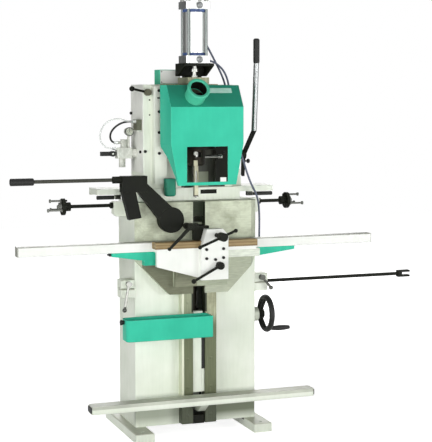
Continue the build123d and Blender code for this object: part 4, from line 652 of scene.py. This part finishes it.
VISE_SCREWS = [(-14, -312, 868), (-14, -312, 828), (28, -312, 822), (66, -312, 869), (66, -312, 829)]
KEEP_SCREWS = [(x, -144.3, z) for x in (-179, 129) for z in (1570, 1476, 1383, 1290)]
WAY_PLUGS = [(x, -164, z) for x in (-56.5, 56.5) for z in (88, 219, 350, 481, 612)]
PLATE_SCREWS = [(x, -33, z) for x in (-131, -49) for z in (1608, 1656)]
UPRIGHT_SCREWS = [(-209, -100, 1528), (-209, -100, 1461)]
TIE_ROD_ENDS = [(x, y, 1962) for x in (-67, 17) for y in (-225, -141)]
# A socket screw's head, in shares of its radius
CAP = [(0, 0), (1, 0), (1, 0.9), (0.9, 1.05), (0.6, 1.05), (0.46, 0.95, 6), (0.46, 0.4, 6), (0, 0.4)]
PAN = [(0, 0), (3.6, 0), (3.6, 1), (3.0, 2), (1.8, 2.4), (1.5, 2.4, 6), (1.5, 1.2, 6), (0, 1.2)]
# Plugs that end flush with the ways' ground face
PLUG = [(0, 0), (7.4, 0), (7.4, 9.6), (6.9, 9.9), (0, 9.9)]
NUT = [(0, 0), (10, 0), (10, 1.6), (8.5, 1.6, 6), (8.5, 9, 6), (7.8, 10), (5.6, 10), (5.6, 15), (4.8, 16),
       (0, 16)]


class MORTISER_OT_screws(bpy.types.Operator):
    """Sets the socket screws, the ways' plugs and the tie rods' nuts"""

    bl_idname = "mortiser.screws"
    bl_label = "Screws, plugs and nuts"

    def execute(self, context):
        head = context.scene.mortiser_sizes.cap_screw / MM / 2
        cap = [(head * radius, head * height, *corners) for radius, height, *corners in CAP]
        black = "black_oxide black_iron carriage"
        lathe((
            ("vise_screws", cap, VISE_SCREWS, FRONT, "black_oxide black_iron knee"),
            ("keep_screws", cap, KEEP_SCREWS, FRONT, black),
            ("plate_screws", PAN, PLATE_SCREWS, FRONT, black),
            ("upright_screws", PAN, UPRIGHT_SCREWS, FRONT, black),
            ("unit_screw_front", cap, [(-231, -100, 1297)], FRONT, black),
            ("unit_screw_side", cap, [(-240, -64, 1294)], LEFT, black),
            ("way_plugs", PLUG, WAY_PLUGS, FRONT, "ground_ways way_iron frame"),
            ("tie_rod_nuts", NUT, TIE_ROD_ENDS, UP, "turned_steel steel carriage"),
        ))
        return {"FINISHED"}


GAUGE = (-274, 3, 1384)
BEZEL = [(0, 0), (19.4, 0), (20.4, 1), (20.4, 4.2), (19.4, 5.4), (17.8, 5), (17.2, 2), (0, 2)]
DIAL = [(0, 2.1), (17.2, 2.1), (17.2, 2.6), (0, 2.6)]
GLASS = [(0, 4.2), (17.6, 4.2), (17.6, 4.8), (10, 5.4), (0, 5.7)]
NEEDLE = [(-1, 0, -4), (0.4, 0, 13), (1, 0, 12.8), (1.4, 0, -4)]
# The dial's marks: their number, the outer radius, the inner radii of a long and a short mark, half the width
MARKS = 13
MARK_OUTER = 15.5
MARK_LONG, MARK_SHORT = 11.0, 13.0
MARK_HALF = 0.5
# Where the marks and the needle start and end in Y, from the gauge's centre
MARK_LEVELS = (-2.5, -2.8)
NEEDLE_LEVELS = (-3.0, -3.6)


class MORTISER_OT_gauge(bpy.types.Operator):
    """Builds the pressure gauge's bezel, dial, marks, needle and glass"""

    bl_idname = "mortiser.gauge"
    bl_label = "Pressure gauge"

    def execute(self, context):
        black = "black_oxide black_iron carriage"
        lathe((("gauge_bezel", BEZEL, [GAUGE], FRONT, black),
               ("gauge_dial", DIAL, [GAUGE], FRONT, "dial_card white_paint carriage"),
               ("gauge_glass", GLASS, [GAUGE], FRONT, "gauge_glass aluminium carriage")))
        # Marks are bars at even angles on a circle, from -45 to 225 degrees, and every third one is longer
        angle = np.radians(np.linspace(-45, 225, MARKS))
        inner_radius = np.where(np.arange(MARKS) % 3 == 0, MARK_LONG, MARK_SHORT)
        out = np.stack([np.cos(angle), np.zeros(MARKS), np.sin(angle)], 1)
        turn = np.stack([-np.sin(angle), np.zeros(MARKS), np.cos(angle)], 1) * MARK_HALF
        inner, outer = out * inner_radius[:, None], out * MARK_OUTER
        bars = np.stack([inner - turn, outer - turn, outer + turn, inner + turn], 1)
        skin("gauge_marks", prism(bars, *MARK_LEVELS) + np.array(GAUGE), *black.split())
        skin("gauge_needle", prism(NEEDLE, *NEEDLE_LEVELS) + np.array(GAUGE), *black.split())
        return {"FINISHED"}


# The way that the hood's sloping roof faces, and the foot of the dust port on it
ROOF = np.array([0, -0.8374, 0.5465])
PORT = (-72, -323.3, 1543)
SEAL = [(51, 0), (52.2, 0.8), (52.2, 12.2), (51, 13), (50.6, 6.5), (51, 0)]
PORT_PLUG = [(0, 0), (15, 0), (15, 3), (13.5, 4.5), (10.8, 4.5), (10.2, 3), (8.6, 3, 6), (8.6, 7, 6),
             (7.6, 8), (3.8, 8), (3.4, 5, 6), (0, 5)]
SLEEVE = [(0, 0), (8.2, 0), (9.2, 1), (9.2, 78), (8, 80.5), (0, 80.5)]
TRAY_KNOB = [(0, 0), (8, 0), (9.6, 1.5), (9.8, 8), (11.5, 12), (11.5, 17), (9.5, 20), (0, 21)]
ARM_BOLT = [(0, 0), (9, 0), (9, 2), (7, 2.2, 6), (7, 9, 6), (6.2, 10), (4, 10), (4, 16), (0, 16)]
LEVER_KNOB = [(0, 0), (9, 0), (9, 3), (4, 4), (4, 13), (9.5, 15), (11, 19), (10, 24), (6, 27), (0, 28)]
STUD = [(0, 0), (7, 0), (7, 8), (5, 10), (0, 10)]
# A rolled bead round the dust port's mouth, and the dark lining inside it
BEAD = [(45.1, 52), (48.4, 53), (50.6, 57), (51.2, 62), (50, 66), (46.5, 68.6), (40, 68.6), (36.8, 67),
        (36, 64), (36.8, 61), (41.9, 59.5), (41.9, 66.1), (45.1, 66.1), (45.1, 52)]
LINING = [(41.8, 4), (41.8, 59), (40.6, 59), (40.6, 4), (41.8, 4)]
HOLDER_SCREW = [(0, 0), (9, 0), (9, 7), (8, 8), (4, 8), (3.6, 7, 6), (3.6, 5, 6), (0, 5)]
HOLDER_BAR = [(0, 0), (6.5, 0), (6.5, 62), (5, 63), (5, 66), (8, 67), (9, 70), (9, 84), (7.5, 87), (0, 88)]


class MORTISER_OT_small_parts(bpy.types.Operator):
    """Adds the turned small parts: seals, plugs, sleeves, knobs, studs and the dust port's bead"""

    bl_idname = "mortiser.small_parts"
    bl_label = "Small parts"

    def execute(self, context):
        grip = "moulded_grip black_plastic carriage"
        lathe((
            ("tube_seals", SEAL, [(-25, -183, 1724.2), (-25, -183, 1914.8)], UP,
             "blue_seal black_plastic carriage", 72),
            ("port_plugs", PORT_PLUG, [(-20, -240, 1945), (-20, -240, 1707)], FRONT,
             "polished_chrome steel carriage"),
            ("sleeve_left", SLEEVE, [(-350, 0, 1086)], LEFT, grip),
            ("sleeve_right", SLEEVE, [(348, 0, 1086)], RIGHT, grip),
            ("tray_knob", TRAY_KNOB, [(-367.5, -218, 547)], LEFT, "moulded_grip black_plastic frame"),
            ("arm_bolt", ARM_BOLT, [(-423, -203, 850)], LEFT, "black_oxide black_iron knee"),
            ("lever_knob", LEVER_KNOB, [(292, 12, 1240)], RIGHT, "black_oxide black_iron feed"),
            ("upright_stud", STUD, [(-240, 73, 1467)], LEFT, "black_oxide black_iron carriage"),
            ("port_bead", BEAD, [PORT], ROOF, "light_green_enamel teal_paint ram", 64),
            ("port_lining", LINING, [PORT], ROOF, "black_enamel black_plastic ram", 64),
            # Likely readings of two bright marks behind the hood's window
            ("holder_screw", HOLDER_SCREW, [(-45, -252, 1292)], FRONT, "cast_zinc steel ram"),
            ("holder_bar", HOLDER_BAR, [(9, -215, 1275)], RIGHT, "turned_steel steel ram"),
        ))
        return {"FINISHED"}


# Plates, in millimetres

# Corners of the bare label on the hood's roof
LABEL = [(-1, -312.6, 1559.3), (106, -312.6, 1559.3), (106, -298.9, 1580.3), (-1, -298.9, 1580.3)]
# Corners of the pedal's end in Y and Z, and half the pedal's length
PEDAL_END = ((-270, 159), (-210, 159), (-210, 185), (-270, 185))
PEDAL_HALF = 533
# Corners of the back trim in X and Z, and the Y of its seat
BACK_TRIM = ((-286, 1046.2), (286, 1046.2), (286, 1064), (-286, 1064))
BACK_FACE = 130.05


class MORTISER_OT_plates(bpy.types.Operator):
    """Adds the thin plates: the bare label, covers, strips in the slot and the window, plugs and trim"""

    bl_idname = "mortiser.plates"
    bl_label = "Plates"

    def execute(self, context):
        skin("label", slab(LABEL, ROOF, 1.0, 0.4), "printed_foil", "white_paint", "ram")
        cream, black = "cream_enamel cream_paint frame", "black_enamel black_iron frame"
        plates((
            ("terminal_cover", (-136, -44), (1602, 1662), -33, 1.6, 0.6, "white_enamel white_paint carriage"),
            # Closes a gap under the pedal's arm with a black plate, which stands in for painted shade there
            ("pivot_back", (-60, 84), (43, 130), -36.9, 3, 1, black),
            # In the column's slot, from the floor up: likely readings of its pale and dark stretches
            # The black sill stands in for painted shade at the foot of the slot
            ("slot_shade_sill", (-28.6, 28.6), (44, 84), -131, 34, 2, black),
            ("slot_cover", (-28.6, 14.4), (192, 455), -131, 33, 1.5, cream),
            ("slot_filler", (14.8, 28.6), (192, 299.5), -131, 33, 1.5, cream),
            ("slot_wiper", (14.8, 28.6), (300, 455), -131, 35, 2, "moulded_grip black_plastic frame"),
            ("slot_guide", (-27, 20), (538, 568), -136, 30, 3, cream),
            # Likely readings of marks in the hood's window and beside it
            ("holder_key", (-54, -36), (1237, 1262), -251, 9, 1, "ground_tool_steel steel ram"),
            ("window_clip", (38, 66), (1159, 1190), -346, 2.9, 0.8, "white_enamel white_paint ram"),
            # A black sheet over the right keep plate stands in for painted shade behind the window
            ("way_shade_sheet", (90.4, 149), (1152, 1345), -144.4, 3, 1, "black_enamel black_plastic carriage"),
            # A black pad below the hood stands in for a painted shadow
            ("shade_pad", (28, 106), (1101, 1120), -115, 2, 0.8, "black_enamel black_plastic carriage"),
        ))
        # Moulded plugs close the ends of the pedal's channel
        ends = []
        for side in (-1, 1):
            corners = [(side * PEDAL_HALF, y, z) for y, z in PEDAL_END]
            ends.append(slab(corners, (side, 0, 0), 3, 1))
        skin("pedal_plugs", np.stack(ends), "moulded_grip", "black_plastic", "pedal")
        trim = slab([(x, BACK_FACE, z) for x, z in BACK_TRIM], BACK, 3, 1)
        skin("back_trim", trim, "cream_enamel", "cream_paint", "frame")
        return {"FINISHED"}


# Formed parts, in millimetres

WHEEL = (362, -95, 526)
RIM_RADIUS = 76
RIM_HALF = 13
RIM_STEPS, RIM_SIDES = 161, 20
GRIPS = 20
GRIP_SWELL = 0.9
LOUVRE_HALF = 66
LOUVRE_RISE = 10
LOUVRE_TOP, LOUVRE_HEIGHT = 9, 15
LOUVRE_PITCH = 26.0
LOUVRE_SHEET = 1.2
LOUVRE_STEPS, LOUVRE_LINES = 25, 9
LOUVRE_ROWS = [middle + row * LOUVRE_PITCH for middle in (862, 198) for row in range(-3, 4)]
LOUVRES = [(x, 133.2, z) for x in (-120, 120) for z in LOUVRE_ROWS]


class MORTISER_OT_formed_parts(bpy.types.Operator):
    """Forms the handwheel's rim and the back cover's louvres"""

    bl_idname = "mortiser.formed_parts"
    bl_label = "Rim and louvres"

    def execute(self, context):
        # The rim is a ring round the wheel's centre. Its section's radius swells as the cosine of GRIPS times
        # the angle, on the side that faces the hub, which makes the finger grips
        angle = np.linspace(0, 2 * np.pi, RIM_STEPS)[:, None]
        section = np.arange(RIM_SIDES)[None, :] * 2 * np.pi / RIM_SIDES
        thick = RIM_HALF + GRIP_SWELL * np.cos(GRIPS * angle) * np.clip(-np.cos(section), 0, 1)
        reach = RIM_RADIUS + thick * np.cos(section)
        rim = np.stack([thick * np.sin(section), reach * np.cos(angle), reach * np.sin(angle)], -1)
        skin("wheel_rim", rim + np.array(WHEEL), "moulded_grip", "black_plastic", "wheel",
             crease=ROUND_CREASE)
        # A louvre is pressed out of the sheet: its height rises along a quarter sine from the upper edge to
        # the open lower edge, and falls to nothing at both ends as the square root of 1 - across^4
        across = np.linspace(-1, 1, LOUVRE_STEPS)[:, None]
        down = np.linspace(0, 1, LOUVRE_LINES)[None, :]
        rise = np.sqrt(np.clip(1 - across**4, 0, 1)) * np.sin(down * np.pi / 2)
        x = LOUVRE_HALF * across + 0 * down
        z = LOUVRE_TOP - LOUVRE_HEIGHT * down + 0 * across
        rings = np.array(LOUVRES)[:, None, None] + np.stack([x, LOUVRE_RISE * rise, z], -1)
        louvre = skin("louvres", rings, "cream_enamel", "cream_paint", "frame", wrap=False)
        sheet = louvre.modifiers.new("sheet", "SOLIDIFY")
        sheet.thickness = LOUVRE_SHEET * MM
        sheet.offset = -1.0
        return {"FINISHED"}


# Stage, in metres

FLOOR_REACH = 9.0
BOARD_FOOT, BOARD_TOP = 0.02, 3.6
# Each board's near and far end in X and Y
BOARDS = (("board_left", (-4.4, 0.4), (-0.6, 5.0)), ("board_right", (3.4, 5.0), (4.6, 2.2)))
# Each lamp's place, side in metres and power in watts
LAMPS = (("key_lamp", (4.0, -4.8, 0.9), 2.4, 150.0), ("front_lamp", (-0.8, -6.6, 1.1), 2.0, 125.0),
         ("fill_lamp", (-4.6, -2.6, 1.2), 3.0, 145.0), ("rear_lamp", (1.5, 5.0, 2.4), 3.0, 110.0))
LAMP_AIM = (0, 0, 1.0)
CAMERA_PLACE = (-1.92805, -5.63028, 1.55458)
CAMERA_AIM = (0.14357, -0.00585, 0.96160)
# The camera's focal length and the width of its sensor in millimetres
CAMERA_LENS = 106.96
CAMERA_SENSOR = 36.0


def looked_at(tree):
    """One for rays from the camera, a reflection or a clear piece, and nothing for light on other things."""
    light = add(tree, "LightPath").outputs
    seen = reckon(tree, "ADD", light["Is Camera Ray"], light["Is Glossy Ray"])
    return reckon(tree, "ADD", seen, light["Is Transmission Ray"], use_clamp=True)


def backdrop(name, corners, finish):
    """A flat sheet on four corners, in metres."""
    mesh = bpy.data.meshes.new(name)
    mesh.from_pydata(corners, [], [(0, 1, 2, 3)])
    mesh.materials.append(MADE[finish])
    sheet = bpy.data.objects.new(name, mesh)
    bpy.context.scene.collection.objects.link(sheet)
    return sheet


def aimed(name, data, place, target):
    """Stands a lamp or a camera at a place and turns it to a target."""
    holder = bpy.data.objects.new(name, data)
    holder.location = place
    holder.rotation_euler = (Vector(target) - Vector(place)).to_track_quat("-Z", "Y").to_euler()
    bpy.context.scene.collection.objects.link(holder)
    return holder


def paper_floor():
    """White paper that glows most away from the machine, which keeps its shadow and loses the far edge."""
    tree = blank("studio_floor")
    place = add(tree, "TexCoord").outputs["Object"]
    far = add(tree, "VectorMath", {0: place}, operation="LENGTH").outputs["Value"]
    lift = reckon(tree, "MULTIPLY", looked_at(tree), ramp(tree, far, 0.7, 2.6, 0.8, 1.0))
    paper = add(tree, "BsdfDiffuse", {"Color": linear("F2F2F2")})
    glow = add(tree, "Emission", {"Strength": lift})
    both = add(tree, "AddShader", {0: paper.outputs[0], 1: glow.outputs[0]})
    add(tree, "OutputMaterial", {"Surface": both.outputs[0]})


def white_surround(scene):
    """A world that is white to look at, and lights the machine with a dome that dims with height."""
    world = bpy.data.worlds.new("studio")
    world.use_nodes = True
    scene.world = world
    tree = world.node_tree
    tree.nodes.clear()
    height = add(tree, "SeparateXYZ", {0: add(tree, "TexCoord").outputs["Generated"]}).outputs["Z"]
    dome = ramp(tree, height, 0.0, 0.5, 0.46, 0.04)
    soft = add(tree, "Background", {"Color": linear("FFFFFF"), "Strength": dome})
    white = add(tree, "Background", {"Color": linear("FFFFFF"), "Strength": 1.0})
    mix = add(tree, "MixShader", {0: looked_at(tree), 1: soft.outputs[0], 2: white.outputs[0]})
    add(tree, "OutputWorld", {"Surface": mix.outputs[0]})


class MORTISER_OT_stage(bpy.types.Operator):
    """Sets the floor, the white surround, the lamps, the dark boards and the camera"""

    bl_idname = "mortiser.stage"
    bl_label = "Stage"

    def execute(self, context):
        scene = context.scene
        scene.view_settings.view_transform = "Standard"
        paper_floor()
        corners = [(x * FLOOR_REACH, y * FLOOR_REACH, 0) for x, y in ((-1, -1), (1, -1), (1, 1), (-1, 1))]
        floor = backdrop("floor", corners, "studio_floor")
        white_surround(scene)
        for name, place, wide, power in LAMPS:
            lamp = bpy.data.lights.new(name, "AREA")
            lamp.shape = "SQUARE"
            lamp.size = wide
            lamp.energy = power
            aimed(name, lamp, place, LAMP_AIM).visible_camera = False
        # Dark boards beside the machine, which only its bright metal shows, as narrow dark edges
        tree = blank("felt_board")
        felt = add(tree, "BsdfDiffuse", {"Color": linear("2A2B28")})
        add(tree, "OutputMaterial", {"Surface": felt.outputs[0]})
        for name, near, far in BOARDS:
            corners = [(*near, BOARD_FOOT), (*far, BOARD_FOOT), (*far, BOARD_TOP), (*near, BOARD_TOP)]
            board = backdrop(name, corners, "felt_board")
            board.visible_camera = False
            board.visible_diffuse = False
            board.visible_shadow = False
            board.visible_transmission = False
        camera = bpy.data.cameras.new("camera")
        camera.lens = CAMERA_LENS
        camera.sensor_width = CAMERA_SENSOR
        camera.sensor_fit = "HORIZONTAL"
        scene.camera = aimed("camera", camera, CAMERA_PLACE, CAMERA_AIM)
        return {"FINISHED"}


OPERATORS = (MORTISER_OT_finishes, MORTISER_OT_hoses, MORTISER_OT_fittings, MORTISER_OT_screws,
             MORTISER_OT_gauge, MORTISER_OT_small_parts, MORTISER_OT_plates, MORTISER_OT_formed_parts,
             MORTISER_OT_stage)


class MORTISER_PT_pieces(bpy.types.Panel):
    """Lists the sizes, the colours and the pieces"""

    bl_idname = "MORTISER_PT_pieces"
    bl_label = "Mortiser"
    bl_space_type = "VIEW_3D"
    bl_region_type = "UI"
    bl_category = "Mortiser"

    def draw(self, context):
        for group in (context.scene.mortiser_sizes, context.scene.mortiser_colours):
            for name in group.__annotations__:
                self.layout.prop(group, name)
        for operator in OPERATORS:
            self.layout.operator(operator.bl_idname)


CLASSES = (MortiserSizes, MortiserColours, *OPERATORS, MORTISER_PT_pieces)


def register():
    for kind in CLASSES:
        bpy.utils.register_class(kind)
    bpy.types.Scene.mortiser_sizes = bpy.props.PointerProperty(type=MortiserSizes)
    bpy.types.Scene.mortiser_colours = bpy.props.PointerProperty(type=MortiserColours)


def unregister():
    del bpy.types.Scene.mortiser_colours
    del bpy.types.Scene.mortiser_sizes
    for kind in reversed(CLASSES):
        bpy.utils.unregister_class(kind)


def main():
    register()
    bpy.ops.mortiser.finishes()
    bpy.ops.mortiser.hoses()
    bpy.ops.mortiser.fittings()
    bpy.ops.mortiser.screws()
    bpy.ops.mortiser.gauge()
    bpy.ops.mortiser.small_parts()
    bpy.ops.mortiser.plates()
    bpy.ops.mortiser.formed_parts()
    bpy.ops.mortiser.stage()


if __name__ == "__main__":
    main()
